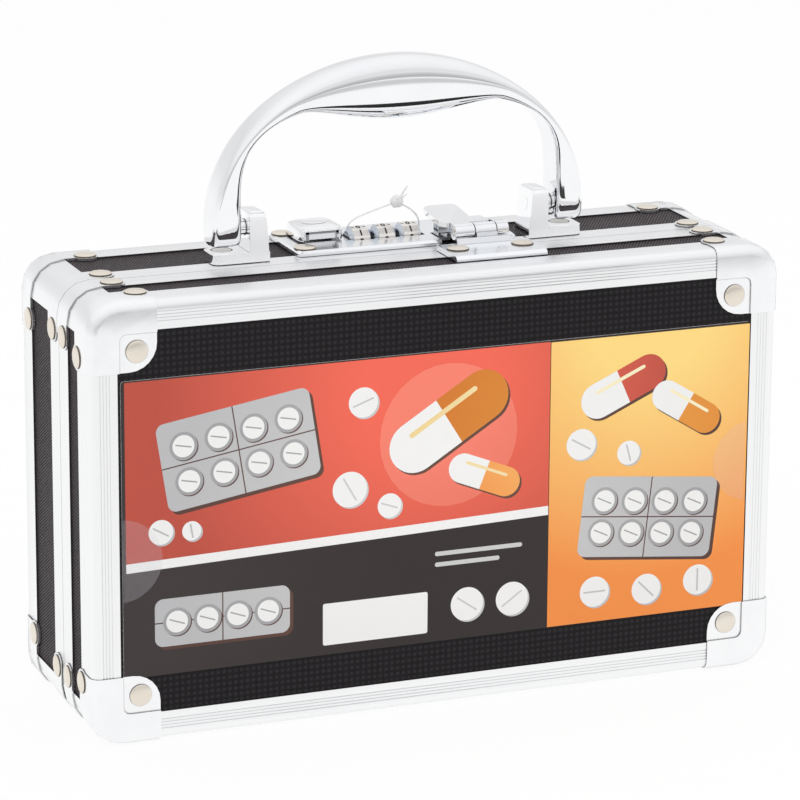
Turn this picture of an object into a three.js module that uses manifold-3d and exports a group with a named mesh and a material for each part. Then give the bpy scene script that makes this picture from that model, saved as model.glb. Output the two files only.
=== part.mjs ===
// A small locking medicine case: aluminium-edged board shells, stamped corners,
// carry handle, three-dial hasp lock and two butt hinges. Millimetres, +Z up.
// The case stands on its hinge side, with the lid towards -Y and the handle on top.
import * as THREE from 'three';
import { mergeVertices } from 'three/addons/utils/BufferGeometryUtils.js';
import Module from 'manifold-3d';

const wasm = await Module();
wasm.setup();

// Case, measured over the outer faces of the aluminium trims
const caseWidth = 208.6;
const caseHeight = 127;
const caseDepth = 63.5;
const lidDepth = 27.1;
const cornerRadius = 9;
const edgeRadius = 2.6;

// Boards and trims
const boardThickness = 2.5;
const boardRecess = 0.5;
const trimThickness = 3;
const trimFaceLeg = 8.2;
const trimSideLeg = 10.4;
const trimEndInset = 9.1;
const seamTrimWidth = 8.1;
const seamGap = 0.2;
const boardGap = 0.1;
const grooveCount = 4;
const grooveFirst = 3.2;
const groovePitch = 0.9;
const grooveWidth = 0.35;
const grooveDepth = 0.2;
const lipThickness = 0.9;
const lipReach = 1.6;
const lipGap = 0.25;
const lipBottomStart = 8;

// Stamped corner caps and their rivets
const capGap = 0.1;
const capSheet = 0.4;
const capLeg = 19.7;
const capOutlineRadius = 8;
const capRecessLeg = 10.1;
const capStepOverlap = 0.5;
const capTabRadius = 3.8;
const capHingeSetback = 1.5;
const capStepRadius = 2;
const rivetRadius = 3.1;
const rivetRise = 0.35;
const faceRivetInset = 13.86;
const edgeRivetInset = 16.5;
const edgeRivetDepth = 9;
const seamRivetInset = 13.9;
const seamRivetOffset = 5;

// Fabric linings and what is sewn to them
const liningGap = 0.2;
const liningThickness = 1.2;
const liningSetback = 0.8;
const strapX = -42;
const strapWidth = 22;
const strapLength = 88;
const strapThickness = 0.9;
const strapLoops = 4;
const strapLoopRise = 1.6;
const pocketWidth = 56;
const pocketHeight = 52;
const pocketInset = 8;
const pocketThickness = 0.8;
const pocketHem = 1.9;
const pocketHemHeight = 6;

// Hinges, on the bottom seam
const hingeInset = 46.3;
const hingeLength = 26;
const hingeAxisRise = 0.5;
const hingeBarrelRadius = 1.2;
const hingePinRadius = 0.55;
const hingePinGap = 0.08;
const hingeLeafReach = 7.4;
const hingeLeafStart = 1.7;
const hingeLeafThickness = 0.6;
const hingeNotchGap = 0.25;
const hingeKnuckleGap = 0.2;
const seamChamfer = 0.9;

// Carry handle and the brackets that hold it
const handleCentreX = -0.6;
const pivotSetback = 1.05;
const pivotRise = 9.5;
const handleHalfWidth = 56.8;
const handleRise = 46.9;
const handleArmWidth = 8.8;
const handleInnerRise = 30;
const handleInnerStart = 3.5;
const handleInnerPower = 3.8;
const gripBelly = 5.3;
const gripHalfLength = 29;
const handleHalfDepth = 6.1;
const gripExtraDepth = 0.8;
const armSquareness = 4;
const gripSquareness = 3;
const handleArmDrop = 4.9;
const postSetIn = 2.1;
const postTopTaper = 1.1;
const postThickness = 6.1;
const postFoot = 17;
const postFootThickness = 3;
const postHeight = 14.7;
const postHalfDepth = 5.2;
const postRounding = 1.2;
const postCrown = 2.4;
const footRounding = 2.4;
const pinRadius = 1.55;
const pinGap = 0.1;
const pinCollarRadius = 2.4;
const pinReach = 5.4;
const screwReach = 12.3;
const screwOffsetY = 1.5;
const screwHeadRadius = 2.9;
const screwHeadThickness = 0.8;
const screwShankRadius = 1.5;
const screwGap = 0.25;
const screwSink = 0.9;

// Combination lock on the base's top; depths run back from the mouth frame's inner edge
const plateLeft = -31.2;
const platePostGap = 3.2;
const plateFront = -2.65;
const plateBackInset = 4.75;
const plateThickness = 1.5;
const plateBevel = 0.7;
const seatGap = 0.1;
const plateRivetX = -27.9;
const plateRivetFrontInset = 4.2;
const plateRivetBackInset = 3;
const housingLeft = -27.4;
const housingRight = 22;
const housingFront = 1.15;
const housingDepth = 15.6;
const housingWall = 1.2;
const housingDrop = 5.4;
const housingGap = 0.35;
const coverThickness = 1;
const dialCount = 3;
const dialPitch = 7.7;
const dialMiddleX = -0.1;
const dialWidth = 5.4;
const dialRadius = 4.6;
const dialSetback = 10.35;
const dialSink = 1.7;
const dialSlotGap = 0.35;
const dialFlats = 10;
const dialPhase = 25;
const dialFlatHalfAngle = 13;
const dialGrooveHalfAngle = 15.5;
const dialGrooveDepth = 0.3;
const dialBevel = 0.55;
const axleRadius = 1.05;
const axleGap = 0.1;
const supportThickness = 1.4;
const supportGap = 0.45;
const buttonLeft = -27.4;
const buttonRight = -13.9;
const buttonFront = 6.3;
const buttonBack = 19.95;
const buttonClearance = 0.45;
const buttonHeight = 4;
const buttonRounding = 2.6;
const buttonMouthDepth = 2.4;
const buttonMouthWall = 1.7;
const buttonMouthTop = 1.2;
const buttonTravel = 3;
const stemCentreX = -18;
const stemWidth = 4;
const stemFront = 11.55;
const stemBack = 14.55;
const stemGap = 0.3;
const boltFront = 2.65;
const boltWidth = 1.9;
const boltDrop = 2.4;
const boltHeight = 1.5;
const boltNoseGap = 0.3;
const springRadius = 1.1;
const springWall = 0.4;

// Hasp on the lid's top; depths run back from the seam, and the hook's from the mouth frame's inner edge
const haspCentreX = 22.6;
const leafWidth = 28;
const leafFront = -15.75;
const leafBack = -0.3;
const leafThickness = 1.6;
const leafSkirt = 1.2;
const leafSkirtDrop = 0.4;
const leafRivetSpacing = 20;
const leafRivetSetback = -6.55;
const haspAxisSetback = 1.35;
const haspAxisRise = 4.6;
const knuckleRadius = 2.3;
const barrelLength = 16.4;
const knuckleLeft = 5.9;
const knuckleRight = 3.6;
const knuckleGap = 0.2;
const haspPinRadius = 0.9;
const haspPinGap = 0.08;
const upstandFoot = 3.9;
const upstandHead = 3.3;
const upstandThickness = 0.8;
const upstandRise = 3.4;
const webGap = 0.3;
const webDepth = 1.9;
const webDrop = 0.2;
const tongueLeft = 11.6;
const tongueRight = 22.3;
const tongueBack = 11.85;
const tongueSlope = 0.105;
const tongueThickness = 1.5;
const tongueRounding = 3.2;
const hookLeft = 13.1;
const hookWidth = 4.1;
const hookFront = 1.55;
const hookDepth = 3.6;
const hookDrop = 1.9;
const hookGap = 0.4;
const hookSwingRoom = 1.8;

// Printed card and the nylon tag through the lock
const cardLeftGap = 0.9;
const cardRightGap = 0.3;
const cardBottomInset = 18.95;
const cardTopInset = 22.15;
const cardThickness = 0.3;
const cardGap = 0.05;
const tagRadius = 0.3;
const tagBeadRadius = 1.9;
const tagSetback = 1.2;
const tagFootReach = 3.5;
const tagRise = 8.6;
const tagCrownShare = 0.69;
const tagTailLength = 5.3;
const tagTailTilt = 0.6;

// Places that follow from the sizes above
const capRise = capGap + capSheet;
const standOff = capRise + rivetRise;
const halfWidth = caseWidth / 2;
const halfHeight = caseHeight / 2;
const midZ = standOff + halfHeight;
const bottomZ = standOff;
const topZ = standOff + caseHeight;
const seamY = lidDepth - caseDepth / 2;
const frameEdgeY = seamY + seamTrimWidth;
const hingeX = halfWidth - hingeInset;
const pivotY = frameEdgeY + pivotSetback;
const pivotZ = topZ + pivotRise;
const handleInnerHalfWidth = handleHalfWidth - handleArmWidth;
const postInner = handleInnerHalfWidth - postSetIn - postThickness;
const screwX = postInner + screwReach;
const plateRight = handleCentreX + postInner - platePostGap;
const plateFrontY = frameEdgeY + plateFront;
const plateBackY = caseDepth / 2 - plateBackInset;
const housingFrontY = frameEdgeY + housingFront;
const housingBackY = housingFrontY + housingDepth;
const dialY = frameEdgeY + dialSetback;
const boltY = frameEdgeY + boltFront;
const stemY = [frameEdgeY + stemFront, frameEdgeY + stemBack];
const haspAxisY = seamY + haspAxisSetback;
const hookY = frameEdgeY + hookFront;
const tongueBackY = frameEdgeY + tongueBack;
const plateTopZ = topZ + seatGap + plateThickness;
const dialZ = plateTopZ - dialSink;
const haspAxisZ = topZ + haspAxisRise;
const hingeAxisZ = bottomZ + hingeAxisRise;
const lid = { name: 'lid', face: 'face', out: -1, depth: lidDepth };
const base = { name: 'base', face: 'back', out: 1, depth: caseDepth - lidDepth };
const cornerSigns = { tl: [-1, 1], tr: [1, 1], bl: [-1, -1], br: [1, -1] };

const finishes = {
  trim: [0xc9cbcc, 0.32, 0.9],
  cap: [0xd5d7d8, 0.2, 1],
  board: [0x1b191a, 0.6, 0],
  chrome: [0xe2e4e6, 0.08, 1],
  nickel: [0xcfc6b4, 0.25, 1],
  lining: [0x1d1d1f, 0.95, 0],
  elastic: [0x242427, 0.85, 0],
  card: [0xd2493a, 0.5, 0],
  nylon: [0xf2f1ec, 0.4, 0],
};
const materials = {};
for (const [name, [color, roughness, metalness]] of Object.entries(finishes)) {
  materials[name] = new THREE.MeshStandardMaterial({ name, color, roughness, metalness });
}

const medicineCase = new THREE.Group();
const lidGroup = new THREE.Group();
const baseGroup = new THREE.Group();
medicineCase.add(lidGroup, baseGroup);

// Solids

function signedVolume(position, index) {
  const [a, b, c] = [new THREE.Vector3(), new THREE.Vector3(), new THREE.Vector3()];
  let volume = 0;
  for (let i = 0; i < index.length; i += 3) {
    a.fromBufferAttribute(position, index[i]);
    b.fromBufferAttribute(position, index[i + 1]);
    c.fromBufferAttribute(position, index[i + 2]);
    volume += a.dot(b.cross(c)) / 6;
  }
  return volume;
}

function toSolid(geometry) {
  const bare = new THREE.BufferGeometry();
  bare.setAttribute('position', geometry.getAttribute('position'));
  bare.setIndex(geometry.getIndex());
  const merged = mergeVertices(bare, 1e-4);
  const source = merged.getIndex().array;
  const index = [];
  for (let i = 0; i < source.length; i += 3) {
    const [a, b, c] = [source[i], source[i + 1], source[i + 2]];
    if (a !== b && b !== c && c !== a) index.push(a, b, c);
  }
  const position = merged.getAttribute('position');
  if (signedVolume(position, index) < 0) index.reverse();
  const vertProperties = new Float32Array(position.array);
  const triVerts = new Uint32Array(index);
  return new wasm.Manifold(new wasm.Mesh({ numProp: 3, vertProperties, triVerts }));
}

function addPart(group, name, solid, finish) {
  const cut = solid.getMesh();
  const geometry = new THREE.BufferGeometry();
  geometry.setAttribute('position', new THREE.BufferAttribute(new Float32Array(cut.vertProperties), 3));
  geometry.setIndex(new THREE.BufferAttribute(new Uint32Array(cut.triVerts), 1));
  geometry.computeVertexNormals();
  const mesh = new THREE.Mesh(geometry, materials[finish]);
  mesh.name = name;
  group.add(mesh);
}

// A block between two opposite corners, given in any order
function block(xs, ys, zs) {
  const size = [xs, ys, zs].map(([from, to]) => Math.abs(to - from));
  const middle = [xs, ys, zs].map(([from, to]) => (from + to) / 2);
  return toSolid(new THREE.BoxGeometry(...size).translate(...middle));
}

function rodX(radius, [from, to], y, z, sides = 16) {
  const rod = new THREE.CylinderGeometry(radius, radius, Math.abs(to - from), sides);
  rod.rotateZ(Math.PI / 2);
  return toSolid(rod.translate((from + to) / 2, y, z));
}

function rodZ(radius, [from, to], x, y, sides = 16) {
  const rod = new THREE.CylinderGeometry(radius, radius, Math.abs(to - from), sides);
  rod.rotateX(Math.PI / 2);
  return toSolid(rod.translate(x, y, (from + to) / 2));
}

// An outline of [a, b] points drawn out from one value to another, each point put in place by a function
function sweep(outline, [from, to], place, hole = null) {
  const shape = new THREE.Shape(outline.map(([a, b]) => new THREE.Vector2(a, b)));
  if (hole) shape.holes.push(new THREE.Path(hole.map(([a, b]) => new THREE.Vector2(a, b))));
  const geometry = new THREE.ExtrudeGeometry(shape, { depth: to - from, bevelEnabled: false });
  const position = geometry.getAttribute('position');
  for (let i = 0; i < position.count; i += 1) {
    const placed = place(position.getX(i), position.getY(i), from + position.getZ(i));
    position.setXYZ(i, ...placed);
  }
  return toSolid(geometry);
}

// A closed skin over rings that have the same number of points
function loft(rings) {
  const count = rings[0].length;
  const points = rings.flat();
  const index = [];
  for (let r = 0; r + 1 < rings.length; r += 1) {
    for (let i = 0; i < count; i += 1) {
      const [a, b] = [r * count + i, r * count + ((i + 1) % count)];
      index.push(a, b, a + count, b, b + count, a + count);
    }
  }
  const last = (rings.length - 1) * count;
  for (let i = 1; i + 1 < count; i += 1) {
    index.push(0, i + 1, i);
    index.push(last, last + i, last + i + 1);
  }
  const geometry = new THREE.BufferGeometry();
  geometry.setAttribute('position', new THREE.Float32BufferAttribute(points.flat(), 3));
  geometry.setIndex(index);
  return toSolid(geometry);
}

function arc(centreA, centreB, radius, fromDegrees, toDegrees, steps) {
  const points = [];
  for (let i = 0; i <= steps; i += 1) {
    const angle = THREE.MathUtils.degToRad(fromDegrees + ((toDegrees - fromDegrees) * i) / steps);
    points.push([centreA + radius * Math.cos(angle), centreB + radius * Math.sin(angle)]);
  }
  return points;
}

function roundedRectangle([left, right], [low, high], radius, steps = 4) {
  return [
    ...arc(right - radius, high - radius, radius, 0, 90, steps),
    ...arc(left + radius, high - radius, radius, 90, 180, steps),
    ...arc(left + radius, low + radius, radius, 180, 270, steps),
    ...arc(right - radius, low + radius, radius, 270, 360, steps),
  ];
}

const straightUp = (a, b, t) => [a, b, t];
const alongX = (a, b, t) => [t, a, b];

// A rivet's head with its rim rounded, on a face at a point, along a direction
function rivetHead(point, direction) {
  const shoulder = rivetRadius - 0.45;
  const profile = [[0, -0.2], [rivetRadius, -0.2], [rivetRadius, 0.12], [shoulder, rivetRise], [0, rivetRise]];
  const head = new THREE.LatheGeometry(profile.map(([r, h]) => new THREE.Vector2(r, h)), 12);
  const turn = new THREE.Quaternion().setFromUnitVectors(new THREE.Vector3(0, 1, 0), direction);
  return toSolid(head.applyQuaternion(turn).translate(...point));
}

// Places in a shell: depth runs in from its outer face, insets run in from its sides

const depthY = (shell, depth) => shell.out * (caseDepth / 2 - depth);
const insetX = (sign, inset) => sign * (halfWidth - inset);
const insetZ = (sign, inset) => midZ + sign * (halfHeight - inset);

function sectionRing(grow, y) {
  const across = [-halfWidth - grow, halfWidth + grow];
  const upright = [bottomZ - grow, topZ + grow];
  return roundedRectangle(across, upright, cornerRadius + grow).map(([x, z]) => [x, y, z]);
}

// The case's rounded section between two depths of a shell
function sectionBlock(shell, grow, [from, to]) {
  return loft([sectionRing(grow, depthY(shell, from)), sectionRing(grow, depthY(shell, to))]);
}

// The shell's outer form grown by a distance, with the rounded edge round its face
function shellForm(shell, grow, depth) {
  const radius = edgeRadius + grow;
  const rings = [];
  for (const degrees of [0, 30, 60, 90]) {
    const angle = THREE.MathUtils.degToRad(degrees);
    const inset = radius * (1 - Math.sin(angle));
    rings.push(sectionRing(grow - inset, depthY(shell, radius * (1 - Math.cos(angle)) - grow)));
  }
  rings.push(sectionRing(grow, depthY(shell, depth)));
  return loft(rings);
}

// Aluminium edge trims: an angle with fine grooves along its face leg

function trimProfile() {
  const points = [[trimSideLeg, 0], [trimSideLeg, trimThickness], [trimThickness, trimThickness]];
  points.push([trimThickness, trimFaceLeg], [0, trimFaceLeg]);
  for (let i = grooveCount - 1; i >= 0; i -= 1) {
    const middle = grooveFirst + i * groovePitch;
    points.push([0, middle + grooveWidth / 2], [grooveDepth, middle]);
    points.push([0, middle - grooveWidth / 2]);
  }
  points.push(...arc(edgeRadius, edgeRadius, edgeRadius, 180, 270, 4));
  return points;
}

function addTrims(shell, group) {
  const profile = trimProfile();
  const alongWidth = [-halfWidth + trimEndInset, halfWidth - trimEndInset];
  const alongHeight = [bottomZ + trimEndInset, topZ - trimEndInset];
  for (const [side, sign] of [['top', 1], ['bottom', -1]]) {
    let bar = sweep(profile, alongWidth, (d, h, t) => [t, depthY(shell, d), insetZ(sign, h)]);
    if (shell === base && side === 'top') bar = bar.subtract(lockCutOut());
    addPart(group, `${shell.name}_trim_${side}`, bar, 'trim');
  }
  for (const [side, sign] of [['left', -1], ['right', 1]]) {
    const bar = sweep(profile, alongHeight, (d, h, t) => [insetX(sign, h), depthY(shell, d), t]);
    addPart(group, `${shell.name}_trim_${side}`, bar, 'trim');
  }
}

// Boards

function addBoards(shell, group) {
  const faceInset = trimFaceLeg + boardGap;
  const face = block(
    [-halfWidth + faceInset, halfWidth - faceInset],
    [depthY(shell, boardRecess), depthY(shell, boardRecess + boardThickness)],
    [bottomZ + faceInset, topZ - faceInset],
  );
  addPart(group, `${shell.name}_${shell.face}_panel`, face, 'board');
  const depths = [trimSideLeg + boardGap, shell.depth - seamTrimWidth - boardGap].map((d) => depthY(shell, d));
  const across = [-halfWidth + trimEndInset, halfWidth - trimEndInset];
  const upright = [bottomZ + trimEndInset, topZ - trimEndInset];
  const insets = [boardRecess, boardRecess + boardThickness];
  for (const [side, sign] of [['top', 1], ['bottom', -1]]) {
    let board = block(across, depths, insets.map((inset) => insetZ(sign, inset)));
    if (shell === base && side === 'top') board = board.subtract(lockCutOut()).subtract(screwHoles());
    addPart(group, `${shell.name}_board_${side}`, board, 'board');
  }
  for (const [side, sign] of [['left', -1], ['right', 1]]) {
    const board = block(insets.map((inset) => insetX(sign, inset)), depths, upright);
    addPart(group, `${shell.name}_board_${side}`, board, 'board');
  }
}

function lockCutOut() {
  return block(
    [housingLeft - housingGap, housingRight + housingGap],
    [housingFrontY - housingGap, housingBackY + housingGap],
    [topZ - housingDrop - coverThickness - 3, topZ + 1],
  );
}

function screwHoles() {
  const span = [topZ - 10, topZ + 1];
  const holes = [-1, 1].map((side) => rodZ(
    screwShankRadius + screwGap,
    span,
    handleCentreX + side * screwX,
    pivotY + screwOffsetY,
  ));
  return holes[0].add(holes[1]);
}

// Mouth frames, bent in one ring each, with an inner lip on the base that enters the lid

function addMouthFrame(shell, group) {
  const depths = [shell.depth - seamTrimWidth, shell.depth - seamGap / 2];
  let frame = sectionBlock(shell, 0, depths);
  frame = frame.subtract(sectionBlock(shell, -trimThickness, [depths[0] - 1, depths[1] + 1]));
  const rabbetBottom = bottomZ + lipBottomStart;
  if (shell === base) {
    const reach = [depths[1] - 1, shell.depth + lipReach];
    const outer = sectionBlock(shell, lipThickness - trimThickness, reach);
    const lip = outer.subtract(sectionBlock(shell, -trimThickness, [reach[0] - 1, reach[1] + 1]));
    const low = block([-halfWidth, halfWidth], [seamY - 10, seamY + 10], [0, rabbetBottom]);
    frame = frame.add(lip.subtract(low));
    const notch = [hookLeft - hookGap, hookLeft + hookWidth + hookGap];
    frame = frame.subtract(block(notch, [seamY - 5, frameEdgeY + 1], [topZ - hookDrop - hookGap, topZ + 1]));
  } else {
    const reach = [shell.depth - lipReach - lipGap, shell.depth + 1];
    const outer = sectionBlock(shell, lipThickness + lipGap - trimThickness, reach);
    const rabbet = outer.subtract(sectionBlock(shell, -trimThickness - 1, [reach[0] - 1, reach[1] + 1]));
    const low = block([-halfWidth, halfWidth], [seamY - 10, seamY + 10], [0, rabbetBottom - lipGap]);
    frame = frame.subtract(rabbet.subtract(low));
  }
  const bevel = [[seamY, bottomZ - 1], [seamY, bottomZ + seamChamfer], [seamY - seamChamfer, bottomZ]];
  bevel.push([seamY - seamChamfer - 1, bottomZ - 1]);
  const mirrored = bevel.map(([y, z]) => [shell === lid ? y : 2 * seamY - y, z]);
  frame = frame.subtract(sweep(mirrored, [-halfWidth, halfWidth], alongX));
  for (const side of [-1, 1]) {
    const half = hingeLength / 2 + hingeNotchGap;
    const span = [side * hingeX - half, side * hingeX + half];
    frame = frame.subtract(rodX(hingeBarrelRadius + hingeNotchGap, span, seamY, hingeAxisZ));
  }
  addPart(group, `${shell.name}_mouth_frame`, frame, 'trim');
}

// Stamped corner caps: one sheet over the trims, dipping to the board between them and round the face rivet

// The outline of a cap on the face, grown by a distance
function capOutline(grow) {
  const leg = capLeg + grow;
  const radius = capOutlineRadius + grow;
  return [[-5, -5], [leg, -5], ...arc(leg - radius, leg - radius, radius, 0, 90, 6), [-5, leg]];
}

function cornerCap(shell, [sx, sz]) {
  const place = (u, v, d) => [insetX(sx, u), depthY(shell, d), insetZ(sz, v)];
  const square = (leg) => [[-5, -5], [leg, -5], [leg, leg], [-5, leg]];
  const seamSetback = sz < 0 ? capHingeSetback : seamGap / 2;
  const outside = shellForm(shell, capRise, shell.depth);
  const flush = shellForm(shell, boardGap - capGap, shell.depth);
  const inside = shellForm(shell, capGap - boardRecess, shell.depth + 1);

  const stepInset = trimFaceLeg + capStepOverlap;
  const bend = stepInset + capStepRadius;
  const dip = [[stepInset, 40], ...arc(bend, bend, capStepRadius, 180, 270, 3)];
  dip.push([40, stepInset], [40, 40]);
  const trimEnd = trimSideLeg + capStepOverlap;
  const frameStart = shell.depth - seamTrimWidth - capStepOverlap;
  let raised = outside.intersect(sweep(capOutline(0), [-5, trimEnd], place));
  raised = raised.subtract(sweep(dip, [-5, 0], place));
  const stripSpan = [frameStart, shell.depth - seamSetback];
  const strip = outside.intersect(sweep(square(seamRivetInset), stripSpan, place));
  const sunkSpan = [trimSideLeg, frameStart + capStepOverlap];
  const sunk = flush.intersect(sweep(square(capRecessLeg), sunkSpan, place));
  let cap = raised.add(strip).add(sunk);

  const topFace = insetZ(sz, -capRise);
  const sideFace = insetX(sx, -capRise);
  const tabDepths = [edgeRivetDepth, shell.depth - seamRivetOffset];
  const tabInsets = [edgeRivetInset, seamRivetInset];
  for (const i of [0, 1]) {
    const y = depthY(shell, tabDepths[i]);
    const room = i === 0 ? [-5, 40] : [-5, shell.depth - seamSetback];
    const keep = sweep(square(60), room, place);
    const upTab = rodZ(capTabRadius, [topFace, insetZ(sz, boardRecess)], insetX(sx, tabInsets[i]), y, 18);
    const sideTab = rodX(capTabRadius, [sideFace, insetX(sx, boardRecess)], y, insetZ(sz, tabInsets[i]), 18);
    cap = cap.add(upTab.add(sideTab).intersect(keep));
  }
  cap = cap.subtract(inside);
  const trimSkin = shellForm(shell, capGap, shell.depth + 1);
  const faceTrim = sweep([[-9, -9], [60, -9], [60, 60], [-9, 60]], [0, trimSideLeg + capGap], place);
  const facePanelRoom = sweep(dip.map(([u, v]) => [u - capSheet, v - capSheet]), [-5, trimThickness], place);
  const seamTrim = sweep(square(60), [shell.depth - seamTrimWidth - capGap, shell.depth + 1], place);
  const faceSkin = sweep(square(60), [-capGap, trimSideLeg + capGap], place);
  cap = cap.subtract(trimSkin.intersect(faceSkin.add(faceTrim)).subtract(facePanelRoom));
  cap = cap.subtract(trimSkin.intersect(seamTrim));

  const up = new THREE.Vector3(0, 0, sz);
  const side = new THREE.Vector3(sx, 0, 0);
  for (const i of [0, 1]) {
    const y = depthY(shell, tabDepths[i]);
    cap = cap.add(rivetHead([insetX(sx, tabInsets[i]), y, topFace], up));
    cap = cap.add(rivetHead([sideFace, y, insetZ(sz, tabInsets[i])], side));
  }
  const facePoint = [insetX(sx, faceRivetInset), depthY(shell, 0), insetZ(sz, faceRivetInset)];
  return cap.add(rivetHead(facePoint, new THREE.Vector3(0, shell.out, 0)));
}

// Fabric linings

function addLining(shell, group) {
  const outer = -trimThickness - liningGap;
  const inner = outer - liningThickness;
  const floor = trimThickness + liningGap;
  let tray = sectionBlock(shell, outer, [floor, shell.depth - liningSetback]);
  tray = tray.subtract(sectionBlock(shell, inner, [floor + liningThickness, shell.depth + 1]));
  if (shell === base) tray = tray.subtract(lockCutOut());
  addPart(group, `${shell.name}_lining`, tray, 'lining');
}

const liningFloor = (shell) => trimThickness + liningGap + liningThickness + cardGap;

// A flat elastic band sewn down between its pen loops, which stand a little proud
function addStrap() {
  const floor = liningFloor(lid);
  const loop = strapLength / strapLoops;
  const points = [[strapLength / 2, floor], [-strapLength / 2, floor]];
  for (let i = 0; i < strapLoops; i += 1) {
    for (const share of [0, 0.15, 0.3, 0.5, 0.7, 0.85]) {
      const rise = strapLoopRise * Math.sin(Math.PI * share) ** 2;
      points.push([(i + share) * loop - strapLength / 2, floor + strapThickness + rise]);
    }
  }
  points.push([strapLength / 2, floor + strapThickness]);
  const across = [strapX - strapWidth / 2, strapX + strapWidth / 2];
  const strap = sweep(points, across, (h, d, t) => [t, depthY(lid, d), midZ + h]);
  addPart(lidGroup, 'lid_elastic_strap', strap, 'elastic');
}

function addMeshPocket() {
  const floor = liningFloor(base);
  const inner = trimThickness + liningGap + liningThickness;
  const across = [halfWidth - inner - pocketInset - pocketWidth, halfWidth - inner - pocketInset];
  const low = bottomZ + inner + pocketInset;
  const hemZ = low + pocketHeight - pocketHemHeight;
  const points = [[floor, low], [floor + pocketThickness, low], [floor + pocketThickness, hemZ]];
  points.push([floor + pocketHem, hemZ + pocketHemHeight / 3], [floor + pocketHem, low + pocketHeight]);
  points.push([floor, low + pocketHeight]);
  const pocket = sweep(points, across, (d, z, t) => [t, depthY(base, d), z]);
  addPart(baseGroup, 'base_mesh_pocket', pocket, 'elastic');
}

// Butt hinges under the bottom seam

function hingeLeaf(middleX, side, spans) {
  const lowZ = bottomZ - capGap - hingeLeafThickness;
  const leafY = [seamY + side * hingeLeafStart, seamY + side * hingeLeafReach];
  let leaf = block([middleX - hingeLength / 2, middleX + hingeLength / 2], leafY, [lowZ, bottomZ - capGap]);
  for (const span of spans) {
    leaf = leaf.add(rodX(hingeBarrelRadius, span, seamY, hingeAxisZ));
    leaf = leaf.add(block(span, [seamY + side * 0.5, leafY[0] + side], [lowZ, bottomZ - capGap]));
  }
  const bore = [middleX - hingeLength, middleX + hingeLength];
  return leaf.subtract(rodX(hingePinRadius + hingePinGap, bore, seamY, hingeAxisZ));
}

function addHinges() {
  const knuckle = (hingeLength - 2 * hingeKnuckleGap) / 3;
  for (const [side, middleX] of [['left', -hingeX], ['right', hingeX]]) {
    const start = middleX - hingeLength / 2;
    const end = middleX + hingeLength / 2;
    const lidSpans = [[middleX - knuckle / 2, middleX + knuckle / 2]];
    const baseSpans = [[start, start + knuckle], [end - knuckle, end]];
    addPart(lidGroup, `hinge_${side}_lid_leaf`, hingeLeaf(middleX, -1, lidSpans), 'chrome');
    addPart(baseGroup, `hinge_${side}_base_leaf`, hingeLeaf(middleX, 1, baseSpans), 'chrome');
    addPart(baseGroup, `hinge_${side}_pin`, rodX(hingePinRadius, [start, end], seamY, hingeAxisZ), 'chrome');
  }
}

// Carry handle: an elliptic arch outside, a flatter arch with a finger-filling belly inside

function handleInnerZ(x) {
  const share = Math.min(Math.abs(x) / handleInnerHalfWidth, 1);
  const arch = handleInnerRise * (1 - share ** handleInnerPower) ** (1 / handleInnerPower);
  const along = Math.max(1 - (x / gripHalfLength) ** 2, 0);
  return pivotZ + handleInnerStart + arch - gripBelly * along ** 1.2;
}

// One ring of the handle between an inner and an outer point of its upright plane
function handleRing(inner, outer, halfDepth, squareness) {
  const ring = [];
  for (let i = 0; i < 14; i += 1) {
    const angle = ((i + 0.5) * 2 * Math.PI) / 14;
    const soften = (value) => Math.sign(value) * Math.abs(value) ** (2 / squareness);
    const share = 0.5 + 0.5 * soften(Math.cos(angle));
    const y = pivotY + halfDepth * soften(Math.sin(angle));
    const x = inner[0] + (outer[0] - inner[0]) * share;
    const z = inner[1] + (outer[1] - inner[1]) * share;
    ring.push([handleCentreX + x, y, z]);
  }
  return ring;
}

function addHandle() {
  const rings = [];
  const armEnds = [[1, 2.6, 0.9], [0.88, 4.1, 0.4], [0.5, 5.4, 0.1]];
  for (const [drop, halfDepth, narrow] of armEnds) {
    const z = pivotZ - handleArmDrop * drop;
    const inner = [-handleInnerHalfWidth - narrow, z];
    rings.push(handleRing(inner, [-handleHalfWidth + narrow, z - 0.1], halfDepth, armSquareness));
  }
  const steps = 34;
  for (let i = 0; i <= steps; i += 1) {
    const angle = Math.PI * (i / steps - 0.5);
    const outer = [handleHalfWidth * Math.sin(angle), pivotZ + handleRise * Math.cos(angle)];
    const innerX = handleInnerHalfWidth * Math.sign(Math.sin(angle)) * Math.abs(Math.sin(angle)) ** 1.1;
    const grip = Math.max(1 - (innerX / handleInnerHalfWidth) ** 2, 0);
    const halfDepth = handleHalfDepth + gripExtraDepth * grip;
    const squareness = armSquareness + (gripSquareness - armSquareness) * grip;
    rings.push(handleRing([innerX, handleInnerZ(innerX)], outer, halfDepth, squareness));
  }
  for (const [drop, halfDepth, narrow] of armEnds.reverse()) {
    const z = pivotZ - handleArmDrop * drop;
    const inner = [handleInnerHalfWidth + narrow, z];
    rings.push(handleRing(inner, [handleHalfWidth - narrow, z - 0.1], halfDepth, armSquareness));
  }
  let handle = loft(rings);
  for (const side of [-1, 1]) {
    const bore = [handleInnerHalfWidth - 1, handleInnerHalfWidth + pinReach + 0.2];
    const span = bore.map((x) => handleCentreX + side * x);
    handle = handle.subtract(rodX(pinRadius + pinGap, span, pivotY, pivotZ, 14));
  }
  addPart(baseGroup, 'handle', handle, 'chrome');
}

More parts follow.
